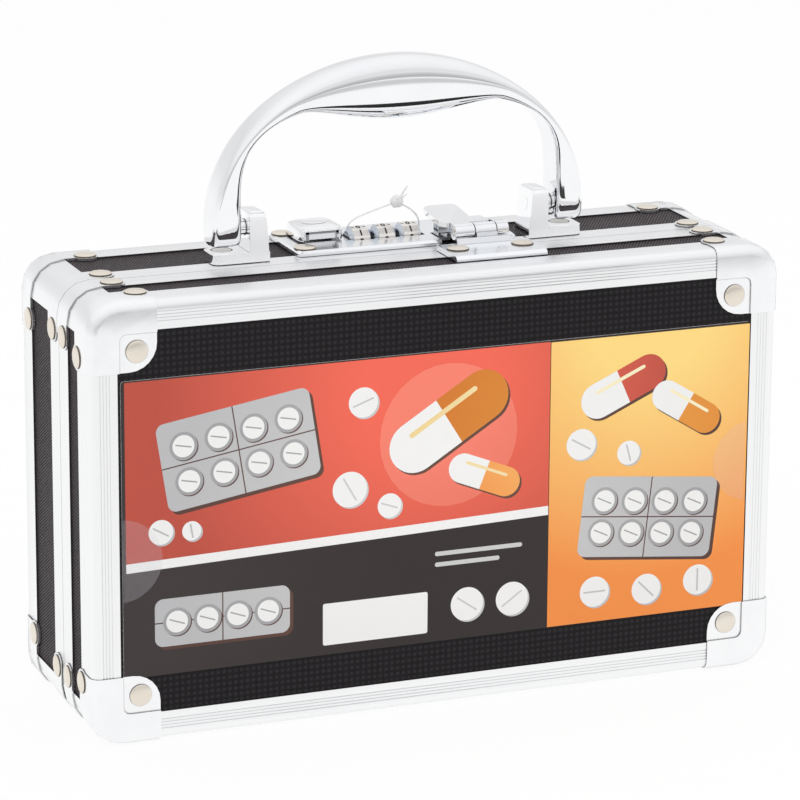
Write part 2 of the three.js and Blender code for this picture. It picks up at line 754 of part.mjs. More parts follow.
function addHandlePosts() {
  const postOuter = postInner + postThickness;
  const footZ = [topZ + seatGap, topZ + postFootThickness];
  const depths = [pivotY - postHalfDepth, pivotY + postHalfDepth];
  for (const [name, side] of [['left', -1], ['right', 1]]) {
    const place = (a, b, t) => [handleCentreX + side * a, t, b];
    const postTop = topZ + postHeight;
    const innerTop = postInner + postTopTaper;
    const upright = [[postInner, footZ[0]], [postOuter, footZ[0]]];
    upright.push(...arc(postOuter - postRounding, postTop - postRounding, postRounding, 0, 90, 3));
    upright.push(...arc(innerTop + postRounding, postTop - postRounding, postRounding, 90, 180, 3));
    const footEnd = postInner + postFoot;
    const foot = [[postInner, depths[0]]];
    foot.push(...arc(footEnd - footRounding, depths[0] + footRounding, footRounding, -90, 0, 4));
    foot.push(...arc(footEnd - footRounding, depths[1] - footRounding, footRounding, 0, 90, 4));
    foot.push([postInner, depths[1]]);
    const crown = [[depths[0], footZ[0]], [depths[1], footZ[0]]];
    crown.push(...arc(depths[1] - postCrown, postTop - postCrown, postCrown, 0, 90, 4));
    crown.push(...arc(depths[0] + postCrown, postTop - postCrown, postCrown, 90, 180, 4));
    const crownSpan = side < 0 ? [-postOuter - 1, -postInner + 1] : [postInner - 1, postOuter + 1];
    let post = sweep(upright, depths, place);
    post = post.intersect(sweep(crown, crownSpan.map((x) => handleCentreX + x), alongX));
    post = post.add(sweep(foot, footZ, (a, b, t) => [handleCentreX + side * a, b, t]));
    const screw = [handleCentreX + side * screwX, pivotY + screwOffsetY];
    post = post.subtract(rodZ(screwShankRadius + screwGap, [topZ - 1, topZ + 9], ...screw));
    post = post.subtract(rodZ(screwHeadRadius + screwGap, [footZ[1] - screwSink, topZ + 9], ...screw, 20));
    const bore = [postInner - 1, postOuter + 1].map((x) => handleCentreX + side * x);
    post = post.subtract(rodX(pinRadius + pinGap, bore, pivotY, pivotZ, 14));
    addPart(baseGroup, `handle_post_${name}`, post, 'chrome');

    const pinSpan = [postInner + postTopTaper, handleInnerHalfWidth + pinReach];
    const collarSpan = [postOuter + seatGap, handleInnerHalfWidth - seatGap];
    let pin = rodX(pinRadius, pinSpan.map((x) => handleCentreX + side * x), pivotY, pivotZ, 14);
    pin = pin.add(rodX(pinCollarRadius, collarSpan.map((x) => handleCentreX + side * x), pivotY, pivotZ));
    addPart(baseGroup, `handle_pin_${name}`, pin, 'chrome');

    const headZ = footZ[1] - screwSink + seatGap;
    const boardUnderside = topZ - boardRecess - boardThickness;
    let fastener = rodZ(screwHeadRadius, [headZ, headZ + screwHeadThickness - seatGap], ...screw);
    fastener = fastener.add(rodZ(screwShankRadius, [boardUnderside, headZ + 0.2], ...screw));
    addPart(baseGroup, `handle_screw_${name}`, fastener, 'nickel');
  }
}

// Combination lock

const firstDialX = dialMiddleX - (dialPitch * (dialCount - 1)) / 2;
const lastDialX = firstDialX + dialPitch * (dialCount - 1);
const supportLeft = firstDialX - dialWidth / 2 - supportGap;
const supportRight = lastDialX + dialWidth / 2 + supportGap;

function addLockPlate() {
  const low = topZ + seatGap;
  const level = (inset, z) => roundedRectangle(
    [plateLeft + inset, plateRight - inset],
    [plateFrontY + inset, plateBackY - inset],
    1.2,
    2,
  ).map(([x, y]) => [x, y, z]);
  let plate = loft([level(0, low), level(0, plateTopZ - plateBevel), level(plateBevel, plateTopZ)]);
  const floorZ = topZ - housingDrop;
  const housing = block([housingLeft, housingRight], [housingFrontY, housingBackY], [floorZ, low + 0.3]);
  const room = block(
    [housingLeft + housingWall, housingRight - housingWall],
    [housingFrontY + housingWall, housingBackY - housingWall],
    [floorZ - 1, low + 0.4],
  );
  plate = plate.add(housing).subtract(room);
  const supportY = [boltY + boltWidth + stemGap, dialY + dialRadius + 1];
  const leftSpan = [supportLeft - supportThickness, supportLeft];
  const rightSpan = [supportRight, supportRight + supportThickness];
  for (const span of [leftSpan, rightSpan]) {
    plate = plate.add(block(span, supportY, [floorZ + 1, low + 0.7]));
  }
  const axleSpan = [supportLeft - supportThickness - 1, supportRight + supportThickness + 1];
  plate = plate.subtract(rodX(axleRadius + axleGap, axleSpan, dialY, dialZ, 12));
  for (let i = 0; i < dialCount; i += 1) {
    const middle = firstDialX + i * dialPitch;
    const half = dialWidth / 2 + dialSlotGap;
    const wheelY = [dialY - dialRadius - dialSlotGap, dialY + dialRadius + dialSlotGap];
    plate = plate.subtract(block([middle - half, middle + half], wheelY, [low - 1, plateTopZ + 1]));
  }
  const stemX = [stemCentreX - stemWidth / 2 - buttonTravel - stemGap, stemCentreX + stemWidth / 2 + stemGap];
  plate = plate.subtract(block(stemX, [stemY[0] - stemGap, stemY[1] + stemGap], [low - 1, plateTopZ + 1]));
  const slotX = [hookLeft - hookGap, hookLeft + hookWidth + hookGap];
  const slotY = [plateFrontY - 1, hookY + hookDepth + hookSwingRoom];
  plate = plate.subtract(block(slotX, slotY, [topZ - hookDrop - 3 * hookGap, plateTopZ + 1]));
  for (const y of [plateFrontY + plateRivetFrontInset, plateBackY - plateRivetBackInset]) {
    const point = [plateRivetX, y, plateTopZ];
    plate = plate.add(rivetHead(point, new THREE.Vector3(0, 0, 1)));
  }
  addPart(baseGroup, 'lock_plate', plate, 'chrome');

  const coverTop = floorZ - seatGap;
  const coverZ = [coverTop - coverThickness, coverTop];
  const cover = block([housingLeft, housingRight], [housingFrontY, housingBackY], coverZ);
  addPart(baseGroup, 'lock_cover', cover, 'chrome');
}

function dialOutline(bevel) {
  const points = [];
  for (let i = 0; i < dialFlats; i += 1) {
    const middle = dialPhase + (360 * i) / dialFlats;
    const next = 360 / dialFlats - dialGrooveHalfAngle;
    const corners = [[-dialFlatHalfAngle, 0], [dialFlatHalfAngle, 0]];
    corners.push([dialGrooveHalfAngle, dialGrooveDepth], [next, dialGrooveDepth]);
    for (const [turn, sink] of corners) {
      const angle = THREE.MathUtils.degToRad(middle + turn);
      const radius = dialRadius - Math.max(sink, bevel);
      points.push([dialY + radius * Math.cos(angle), dialZ + radius * Math.sin(angle)]);
    }
  }
  return points;
}

function addDials() {
  for (let i = 0; i < dialCount; i += 1) {
    const [start, end] = [-0.5, 0.5].map((share) => firstDialX + i * dialPitch + share * dialWidth);
    const stations = [[start, dialBevel], [start + dialBevel, 0], [end - dialBevel, 0], [end, dialBevel]];
    const dial = loft(stations.map(([x, bevel]) => dialOutline(bevel).map(([y, z]) => [x, y, z])));
    const bore = rodX(axleRadius + axleGap, [start - 1, end + 1], dialY, dialZ, 12);
    addPart(baseGroup, `dial_${i + 1}`, dial.subtract(bore), 'chrome');
  }
  const axleSpan = [supportLeft - supportThickness, supportRight + supportThickness];
  addPart(baseGroup, 'dial_axle', rodX(axleRadius, axleSpan, dialY, dialZ, 12), 'nickel');
}

function addReleaseButton() {
  const lowZ = plateTopZ + buttonClearance;
  const level = (inset, rise) => roundedRectangle(
    [buttonLeft + inset, buttonRight - inset],
    [frameEdgeY + buttonFront + inset * 0.7, frameEdgeY + buttonBack - inset],
    buttonRounding,
    3,
  ).map(([x, y]) => [x, y, lowZ + rise]);
  const shoulder = buttonHeight - 1.1;
  let button = loft([level(0, 0), level(0, shoulder), level(0.35, shoulder + 0.7), level(1.3, buttonHeight)]);
  const mouthX = [buttonLeft + buttonMouthWall, buttonRight - buttonMouthWall];
  const mouthY = [frameEdgeY + buttonFront - 1, frameEdgeY + buttonFront + buttonMouthDepth];
  button = button.subtract(block(mouthX, mouthY, [lowZ - 1, lowZ + buttonHeight - buttonMouthTop]));
  const stemX = [stemCentreX - stemWidth / 2, stemCentreX + stemWidth / 2];
  const boltTopZ = topZ - boltDrop + boltHeight;
  button = button.add(block(stemX, stemY, [boltTopZ + seatGap, lowZ + 0.5]));
  addPart(baseGroup, 'release_button', button, 'chrome');

  const boltZ = [topZ - boltDrop, boltTopZ];
  const nose = hookLeft - boltNoseGap;
  let bolt = block([stemX[0], nose], [boltY, boltY + boltWidth], boltZ);
  bolt = bolt.add(block(stemX, [boltY, stemY[1]], boltZ));
  addPart(baseGroup, 'lock_bolt', bolt, 'nickel');

  const springSpan = [housingLeft + housingWall + seatGap, stemX[0] - seatGap];
  const springY = (stemY[0] + stemY[1]) / 2;
  const springZ = topZ - boltDrop + boltHeight / 2;
  let spring = rodX(springRadius, springSpan, springY, springZ, 12);
  const core = [springSpan[0] - 1, springSpan[1] + 1];
  spring = spring.subtract(rodX(springRadius - springWall, core, springY, springZ, 12));
  addPart(baseGroup, 'button_spring', spring, 'nickel');
}

// Hasp: a leaf riveted to the lid, and the tongue that swings on its pin and drops over the lock

function addHasp() {
  const left = haspCentreX - barrelLength / 2;
  const right = haspCentreX + barrelLength / 2;
  const leafX = [haspCentreX - leafWidth / 2, haspCentreX + leafWidth / 2];
  const leafTop = topZ + seatGap + leafThickness;
  const skirtZ = topZ - leafSkirtDrop;
  const [front, back] = [seamY + leafFront, seamY + leafBack];
  const section = [[back, topZ + seatGap], [back, leafTop], [front + 0.9, leafTop]];
  section.push([front, leafTop - 0.9], [front, skirtZ], [front + leafSkirt, skirtZ]);
  section.push([front + leafSkirt, topZ + seatGap]);
  let leaf = sweep(section, leafX, alongX);
  const footY = haspAxisY - upstandFoot;
  const headY = haspAxisY - upstandHead;
  const upstand = [[footY, leafTop - 0.2], [footY + upstandThickness, leafTop - 0.2]];
  upstand.push([headY + upstandThickness, topZ + upstandRise], [headY, topZ + upstandRise]);
  leaf = leaf.add(sweep(upstand, [left, right], alongX));
  const fixedSpan = [left + knuckleLeft + knuckleGap, right - knuckleRight - knuckleGap];
  leaf = leaf.add(rodX(knuckleRadius, fixedSpan, haspAxisY, haspAxisZ, 20));
  leaf = leaf.add(block(fixedSpan, [headY + 0.2, haspAxisY - 1.5], [topZ + upstandRise - 1.2, haspAxisZ]));
  const bore = [left - 1, right + 1];
  leaf = leaf.subtract(rodX(haspPinRadius + haspPinGap, bore, haspAxisY, haspAxisZ, 12));
  for (const side of [-1, 1]) {
    const x = haspCentreX + (side * leafRivetSpacing) / 2;
    leaf = leaf.add(rivetHead([x, seamY + leafRivetSetback, leafTop], new THREE.Vector3(0, 0, 1)));
  }
  addPart(lidGroup, 'hasp_leaf', leaf, 'chrome');
  addPart(lidGroup, 'hasp_pin', rodX(haspPinRadius, [left, right], haspAxisY, haspAxisZ, 12), 'chrome');

  const webFront = haspAxisY + knuckleRadius + webGap;
  const webTop = haspAxisZ + knuckleRadius;
  const webZ = [haspAxisZ - webDrop, webTop];
  let tongue = block([left, right], [webFront, webFront + webDepth], webZ);
  for (const span of [[left, left + knuckleLeft], [right - knuckleRight, right]]) {
    tongue = tongue.add(rodX(knuckleRadius, span, haspAxisY, haspAxisZ, 20));
    tongue = tongue.add(block(span, [haspAxisY, webFront + 0.5], webZ));
  }
  const plan = [[tongueLeft + 2, webFront]];
  plan.push([tongueRight, webFront]);
  plan.push(...arc(tongueRight - 1.8, tongueBackY - 1.8, 1.8, 0, 90, 3));
  plan.push(...arc(tongueLeft + tongueRounding, tongueBackY - tongueRounding, tongueRounding, 90, 180, 4));
  plan.push([tongueLeft, webFront + 2]);
  const lean = (x, y, t) => [x, y, webTop - tongueThickness + t + tongueSlope * (y - webFront)];
  tongue = tongue.add(sweep(plan, [0, tongueThickness], lean));
  const hookTop = webTop - tongueThickness + tongueSlope * (hookY - webFront) + 0.5;
  const hook = block([hookLeft, hookLeft + hookWidth], [hookY, hookY + hookDepth], [topZ - hookDrop, hookTop]);
  tongue = tongue.add(hook).subtract(rodX(haspPinRadius + haspPinGap, bore, haspAxisY, haspAxisZ, 12));
  addPart(lidGroup, 'hasp_tongue', tongue, 'chrome');
}

// Card on the face, and the nylon tag looped over the dials

function addCard() {
  const back = boardRecess - cardGap;
  const depths = [depthY(lid, back), depthY(lid, back - cardThickness)];
  const edge = halfWidth - trimFaceLeg;
  const across = [-edge + cardLeftGap, edge - cardRightGap];
  let card = block(across, depths, [bottomZ + cardBottomInset, topZ - cardTopInset]);
  for (const side of [-1, 1]) {
    const place = (u, v, d) => [insetX(side, u), depthY(lid, d), insetZ(-1, v)];
    card = card.subtract(sweep(capOutline(liningGap), [-1, trimThickness], place));
  }
  addPart(lidGroup, 'label_card', card, 'card');
}

function addTag() {
  const [start, end] = [firstDialX - tagFootReach, lastDialX + tagFootReach];
  const [y, foot] = [dialY + tagSetback, plateTopZ + seatGap];
  const shares = [
    [0, 0], [0, 0.22], [0.02, 0.42], [0.14, 0.62], [0.37, 0.79], [0.58, 0.95],
    [tagCrownShare, 1], [0.82, 0.86], [0.94, 0.62], [1, 0.37], [1, 0.22], [1, 0],
  ];
  const span = end - start;
  const route = shares.map(([along, up]) => new THREE.Vector3(start + span * along, y, foot + tagRise * up));
  const curve = new THREE.CatmullRomCurve3(route);
  const section = new THREE.Shape(arc(0, 0, tagRadius, 0, 315, 7).map(([a, b]) => new THREE.Vector2(a, b)));
  let tag = toSolid(new THREE.ExtrudeGeometry(section, { steps: 30, extrudePath: curve }));
  const crown = new THREE.Vector3(start + (end - start) * tagCrownShare, y, foot + tagRise);
  const bead = new THREE.SphereGeometry(tagBeadRadius, 12, 8).translate(crown.x, crown.y, crown.z + tagRadius);
  const tail = new THREE.CylinderGeometry(tagRadius, tagRadius * 1.5, tagTailLength, 8).rotateX(Math.PI / 2);
  tail.translate(0, 0, tagRadius + tagTailLength / 2).rotateY(tagTailTilt);
  tag = tag.add(toSolid(bead)).add(toSolid(tail.translate(crown.x, crown.y, crown.z)));
  addPart(baseGroup, 'tag_loop', tag, 'nylon');
}

for (const [shell, group] of [[lid, lidGroup], [base, baseGroup]]) {
  addBoards(shell, group);
  addTrims(shell, group);
  addMouthFrame(shell, group);
  for (const [corner, signs] of Object.entries(cornerSigns)) {
    addPart(group, `${shell.name}_corner_${corner}`, cornerCap(shell, signs), 'cap');
  }
  addLining(shell, group);
}
addStrap();
addMeshPocket();
addHinges();
addHandle();
addHandlePosts();
addLockPlate();
addDials();
addReleaseButton();
addHasp();
addCard();
addTag();

export default medicineCase;
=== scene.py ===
import math
import bmesh
import bpy
from mathutils import Matrix, Vector


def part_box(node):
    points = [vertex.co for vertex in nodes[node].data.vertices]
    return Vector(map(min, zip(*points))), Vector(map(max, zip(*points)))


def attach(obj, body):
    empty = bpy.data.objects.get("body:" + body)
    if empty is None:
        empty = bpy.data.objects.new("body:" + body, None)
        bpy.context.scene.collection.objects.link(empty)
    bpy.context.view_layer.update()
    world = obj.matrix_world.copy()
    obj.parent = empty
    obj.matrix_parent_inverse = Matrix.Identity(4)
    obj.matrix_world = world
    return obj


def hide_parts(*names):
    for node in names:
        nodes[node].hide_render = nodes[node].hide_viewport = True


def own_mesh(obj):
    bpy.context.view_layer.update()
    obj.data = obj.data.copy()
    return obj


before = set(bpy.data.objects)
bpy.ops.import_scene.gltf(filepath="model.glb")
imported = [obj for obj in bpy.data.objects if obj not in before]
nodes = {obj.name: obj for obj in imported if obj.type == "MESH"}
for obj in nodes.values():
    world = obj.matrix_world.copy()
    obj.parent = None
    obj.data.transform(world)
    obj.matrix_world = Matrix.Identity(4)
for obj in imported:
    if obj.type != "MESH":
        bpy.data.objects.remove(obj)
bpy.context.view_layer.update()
mm = 0.001
print("frame loaded")


def newObject(name, data):
    made = bpy.data.objects.new(name, data)
    bpy.context.scene.collection.objects.link(made)
    return made


# camera: where the photographer stood, in millimetres and degrees
camera = {"azimuth": -21.732, "elevation": 15.592, "roll": 0.357, "distance": 1215.92,
          "target": (-0.399, 0, 83.156), "lens": 189.2, "sensor": 36}


def placeCamera():
    azimuth, elevation = math.radians(camera["azimuth"]), math.radians(camera["elevation"])
    level = math.cos(elevation)
    back = Vector((math.sin(azimuth) * level, -math.cos(azimuth) * level, math.sin(elevation)))
    data = bpy.data.cameras.new("camera")
    data.lens = camera["lens"]
    data.sensor_width = camera["sensor"]
    data.clip_start = 0.01
    eye = newObject("camera", data)
    eye.location = (Vector(camera["target"]) + back * camera["distance"]) * mm
    roll = Matrix.Rotation(math.radians(camera["roll"]), 4, "Z")
    eye.rotation_euler = ((-back).to_track_quat("-Z", "Y").to_matrix().to_4x4() @ roll).to_euler()
    bpy.context.scene.camera = eye


placeCamera()
bpy.context.scene.view_settings.view_transform = "Standard"


# small helpers for meshes and shader nodes
def toObject(bm, name, smooth=0, scale=mm):
    if scale != 1:
        bmesh.ops.scale(bm, vec=(scale,) * 3, verts=bm.verts)
    mesh = bpy.data.meshes.new(name)
    bm.to_mesh(mesh)
    bm.free()
    piece = newObject(name, mesh)
    if smooth:
        mesh.shade_smooth()
        mesh.set_sharp_from_angle(angle=math.radians(smooth))
    return piece


def setPiece(piece, body, slot, looks, *replaced):
    # looks names one finish or several
    for look in [looks] if isinstance(looks, str) else looks:
        piece.data.materials.append(finishes[look])
    if replaced:
        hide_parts(*replaced)
    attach(piece, body)


def boxOf(name):
    # a CAD node's lower and upper corners in millimetres
    return [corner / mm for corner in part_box(name)]


def addBlock(bm, middle, size, turn=Matrix()):
    place = turn @ Matrix.Translation(middle) @ Matrix.Diagonal((*size, 1))
    return bmesh.ops.create_cube(bm, size=1, matrix=place)["verts"]


def roundOff(bm, geom, offset, segments=3, affect="EDGES"):
    bmesh.ops.bevel(bm, geom=geom, offset=offset, segments=segments, profile=0.5, affect=affect, material=-1)


def raiseFaces(bm, faces, height):
    made = bmesh.ops.extrude_face_region(bm, geom=faces)["geom"]
    raised = [g for g in made if isinstance(g, bmesh.types.BMVert)]
    bmesh.ops.translate(bm, vec=(0, 0, height), verts=raised)
    return raised


def cutThrough(bm, point, normal, **settings):
    whole = bm.verts[:] + bm.edges[:] + bm.faces[:]
    bmesh.ops.bisect_plane(bm, geom=whole, plane_co=point, plane_no=normal, **settings)


def faceOutwards(bm):
    bmesh.ops.recalc_face_normals(bm, faces=bm.faces)


def thickenSheet(bm, thickness, outwards):
    # outwards tells of a face how far it looks to the side that the sheet grows away from
    faceOutwards(bm)
    if sum(outwards(f) for f in bm.faces) < 0:
        bmesh.ops.reverse_faces(bm, faces=bm.faces)
    bmesh.ops.solidify(bm, geom=bm.faces[:], thickness=thickness)
    faceOutwards(bm)


def curveMesh(curve):
    holder = newObject(curve.name, curve)
    mesh = bpy.data.meshes.new_from_object(holder)
    bpy.data.objects.remove(holder)
    return mesh


def addWire(bm, name, kind, radius, rounding, places):
    # a round wire through the places, with closed ends
    curve = bpy.data.curves.new(name, "CURVE")
    curve.dimensions = "3D"
    curve.bevel_depth = radius
    curve.bevel_resolution = rounding
    curve.use_fill_caps = True
    spline = curve.splines.new(kind)
    spline.points.add(len(places) - 1)
    for point, place in zip(spline.points, places):
        point.co = (*place, 1)
    if kind == "NURBS":
        spline.use_endpoint_u = True
        spline.order_u = 4
        spline.resolution_u = 6
    bm.from_mesh(curveMesh(curve))
    bmesh.ops.remove_doubles(bm, verts=bm.verts, dist=0.0001)


def newMaterial(name, colour, roughness, metallic=0, specular=0.5):
    material = bpy.data.materials.new(name)
    material.use_nodes = True
    shader = material.node_tree.nodes["Principled BSDF"]
    shader.inputs["Base Color"].default_value = (*colour, 1)
    for key, number in (("Roughness", roughness), ("Metallic", metallic), ("Specular IOR Level", specular)):
        shader.inputs[key].default_value = number
    return material, material.node_tree, shader


def linkLooks(tree, shader, tint, rough=None):
    tree.links.new(tint, shader.inputs["Base Color"])
    if rough:
        tree.links.new(rough, shader.inputs["Roughness"])


def addNode(tree, kind, *values, **settings):
    node = tree.nodes.new("ShaderNode" + kind)
    for key, value in settings.items():
        setattr(node, key, value)
    for socket, value in zip(node.inputs, values):
        if isinstance(value, bpy.types.NodeSocket):
            tree.links.new(value, socket)
        elif value is not None:
            socket.default_value = value
    return node.outputs[0]


def maths(tree, operation, a, b=None):
    return addNode(tree, "Math", a, b, operation=operation)


def objectCoords(tree):
    return tree.nodes.new("ShaderNodeTexCoord").outputs["Object"]


def axes(tree, coords=None):
    split = tree.nodes.new("ShaderNodeSeparateXYZ")
    tree.links.new(coords or objectCoords(tree), split.inputs[0])
    return split.outputs


def noise(tree, scale, stretch=(1, 1, 1), detail=3):
    mapped = addNode(tree, "Mapping", objectCoords(tree), None, None, stretch)
    node = tree.nodes.new("ShaderNodeTexNoise")
    tree.links.new(mapped, node.inputs["Vector"])
    node.inputs["Scale"].default_value = scale
    node.inputs["Detail"].default_value = detail
    return node.outputs[0]


def spread(tree, value, low, high, start=0.3, end=0.7):
    node = tree.nodes.new("ShaderNodeMapRange")
    tree.links.new(value, node.inputs["Value"])
    for key, number in (("From Min", start), ("From Max", end), ("To Min", low), ("To Max", high)):
        node.inputs[key].default_value = number
    return node.outputs[0]


def wave(tree, value, pitch):
    return maths(tree, "SINE", maths(tree, "MULTIPLY", value, 2 * math.pi / (pitch * mm)))


def blendColours(tree, factor, first, second):
    colours = [c if isinstance(c, bpy.types.NodeSocket) else (*c, 1) for c in (first, second)]
    return addNode(tree, "MixRGB", factor, *colours)


def addBump(tree, shader, height, depth, strength=1.0):
    bump = tree.nodes.new("ShaderNodeBump")
    bump.inputs["Strength"].default_value = strength
    bump.inputs["Distance"].default_value = depth * mm
    tree.links.new(height, bump.inputs["Height"])
    tree.links.new(bump.outputs[0], shader.inputs["Normal"])


def shadeCreases(tree, tint, dark, reach, limits=(0.4, 0.85)):
    # paints shade into the colour, by ambient occlusion, in the narrow gaps where one sheet lies on another
    hollow = tree.nodes.new("ShaderNodeAmbientOcclusion")
    hollow.samples = 8
    hollow.inputs["Distance"].default_value = reach * mm
    return blendColours(tree, spread(tree, hollow.outputs["AO"], 1, 0, *limits), tint, dark)


# studio: a white tent of soft light, open and dim low down on the photographer's side
studio = {"floor": 0.9, "fill": 0.62, "openWidth": 1.2, "openStart": 1.0, "floorGlow": 0.94,
          "flag": ((-8, -66, 127), (64, -40, 127)),
          "tent": [(0.0, 0.95), (0.12, 0.84), (0.3, 0.78), (0.5, 0.92), (1.0, 1.0)],
          "sky": {"width": 0.75, "ahead": (0.3, 0.6), "heights": (0.05, 0.2), "grey": (0.5, 0.5, 0.51)},
          "floorSize": 6, "floorGrey": (0.62, 0.62, 0.63), "floorFade": 0.15, "lampTarget": (0, 0, 0.08),
          "lamps": [("key", (-0.9, -1.1, 1.5), 0.9, 12), ("side", (1.3, -0.7, 0.9), 0.7, 5),
                    ("top", (0.1, 0.5, 1.6), 1.0, 6)]}


def addRamp(tree, value, stops):
    ramp = tree.nodes.new("ShaderNodeValToRGB")
    tree.links.new(value, ramp.inputs[0])
    ramp.color_ramp.elements[0].position = 0
    ramp.color_ramp.elements[1].position = 1
    for position, _ in stops[1:-1]:
        ramp.color_ramp.elements.new(position)
    for element, (position, grey) in zip(ramp.color_ramp.elements, stops):
        element.position = position
        element.color = (grey, grey, grey * 1.01, 1)
    return ramp.outputs[0]


def openSide(tree, coords, width, limits):
    # 1 on the front side of the object, 0 elsewhere
    across, along, _ = axes(tree, coords)
    beside = spread(tree, maths(tree, "ABSOLUTE", across), 1, 0, width * 0.6, width * 1.2)
    ahead = spread(tree, maths(tree, "MULTIPLY", along, -1), 0, 1, *limits)
    return maths(tree, "MULTIPLY", beside, ahead)


def addStudio():
    world = bpy.data.worlds.new("studio")
    bpy.context.scene.world = world
    world.use_nodes = True
    tree = world.node_tree
    background = tree.nodes["Background"]
    rays = tree.nodes.new("ShaderNodeLightPath")
    direction = tree.nodes.new("ShaderNodeTexCoord").outputs["Generated"]
    height = axes(tree, direction)[2]
    tent = addRamp(tree, height, studio["tent"])
    sky = studio["sky"]
    dim = openSide(tree, direction, sky["width"], sky["ahead"])
    dim = maths(tree, "MULTIPLY", dim, spread(tree, height, 1, 0, *sky["heights"]))
    tent = blendColours(tree, dim, tent, sky["grey"])
    plain = blendColours(tree, rays.outputs["Is Glossy Ray"], (studio["fill"],) * 3, tent)
    tree.links.new(blendColours(tree, rays.outputs["Is Camera Ray"], plain, (1, 1, 1)), background.inputs[0])

    for name, location, size, power in studio["lamps"]:
        data = bpy.data.lights.new(name, "AREA")
        data.size = size
        data.energy = power
        lamp = newObject(name, data)
        lamp.location = location
        lamp.visible_glossy = False
        aim = Vector(studio["lampTarget"]) - Vector(location)
        lamp.rotation_euler = aim.to_track_quat("-Z", "Y").to_euler()

    bm = bmesh.new()
    bmesh.ops.create_grid(bm, x_segments=1, y_segments=1, size=studio["floorSize"])
    bmesh.ops.translate(bm, verts=bm.verts, vec=(0, 0, -0.00005))
    floor = toObject(bm, "floor", scale=1)
    material, tree, shader = newMaterial("floorPaper", (studio["floor"],) * 3, 0.9, specular=0.1)
    rays = tree.nodes.new("ShaderNodeLightPath")
    start = studio["openStart"]
    dim = openSide(tree, objectCoords(tree), studio["openWidth"], (start, start + studio["floorFade"]))
    dim = maths(tree, "MULTIPLY", dim, rays.outputs["Is Glossy Ray"])
    glow = addNode(tree, "Emission", blendColours(tree, dim, (1, 1, 1), studio["floorGrey"]))
    either = maths(tree, "MAXIMUM", rays.outputs["Is Camera Ray"], rays.outputs["Is Glossy Ray"])
    share = maths(tree, "MULTIPLY", either, studio["floorGlow"])
    mix = addNode(tree, "MixShader", share, shader.outputs[0], glow)
    tree.links.new(mix, tree.nodes["Material Output"].inputs[0])
    floor.data.materials.append(material)

    # a black flag that only the polished metal sees: it draws the dark line under the grip
    low, high = (Vector(corner) * mm for corner in studio["flag"])
    bm = bmesh.new()
    bmesh.ops.create_grid(bm, x_segments=1, y_segments=1, size=0.5)
    bmesh.ops.scale(bm, vec=(high.x - low.x, high.y - low.y, 1), verts=bm.verts)
    bmesh.ops.translate(bm, vec=(low + high) / 2, verts=bm.verts)
    flag = toObject(bm, "blackFlag", scale=1)
    flag.data.materials.append(newMaterial("flagCloth", (0.01, 0.01, 0.01), 1)[0])
    flag.visible_camera = flag.visible_diffuse = flag.visible_shadow = flag.visible_transmission = False


# finishes
def metalMaterial(name, colour, dull, roughness, grain=(1, 1, 1), grainScale=60, bump=0.002, crease=0.9,
                  front=0):
    material, tree, shader = newMaterial(name, colour, roughness, 1)
    streaks = noise(tree, grainScale, grain, 4)
    clouds = noise(tree, 90, detail=2)
    tint = blendColours(tree, spread(tree, clouds, 0, 1), dull, colour)
    tint = shadeCreases(tree, tint, (0.1, 0.09, 0.085), crease)
    rough = maths(tree, "ADD", spread(tree, streaks, roughness * 0.8, roughness * 1.2),
                  spread(tree, clouds, 0, roughness * 0.15))
    if front:
        # ground faces turned to the front stay dull
        facing = axes(tree, tree.nodes.new("ShaderNodeTexCoord").outputs["Normal"])[1]
        rough = maths(tree, "MAXIMUM", rough, spread(tree, facing, front, 0, -1, -0.7))
        tree.links.new(spread(tree, facing, 0.3, 1, -1, -0.7), shader.inputs["Metallic"])
    linkLooks(tree, shader, tint, rough)
    addBump(tree, shader, streaks, bump)
    return material


def drawnBar(name, across, fine=0.004):
    # drawn aluminium: fine lines that run along the bar and change only across it
    grain = [1400 if axis in across else 5 for axis in "XYZ"]
    material, tree, shader = newMaterial(name, (0.95, 0.955, 0.96), 0.3, 1)
    lines = noise(tree, 1, grain, 2)
    tint = blendColours(tree, spread(tree, lines, 0, 1), (0.92, 0.925, 0.93), (0.97, 0.975, 0.98))
    tint = shadeCreases(tree, tint, (0.42, 0.41, 0.405), 0.45, (0, 0.6))
    linkLooks(tree, shader, tint, spread(tree, lines, 0.26, 0.34))
    addBump(tree, shader, lines, fine)
    return material


# black laminate: rows of raised dots on the faces, a fine crossed weave round the sides, in millimetres
laminate = {
    "dots": {"pitch": 3.5, "dark": (0.005, 0.004, 0.005), "pale": (0.024, 0.021, 0.024), "lit": (0.25, 1)},
    "weave": {"pitch": 0.95, "dark": (0.006, 0.005, 0.006), "pale": (0.105, 0.087, 0.095), "lit": (-1, 1),
              "slope": 0.6},
    "relief": 0.12, "speck": (0.03, 0.028, 0.03),
}


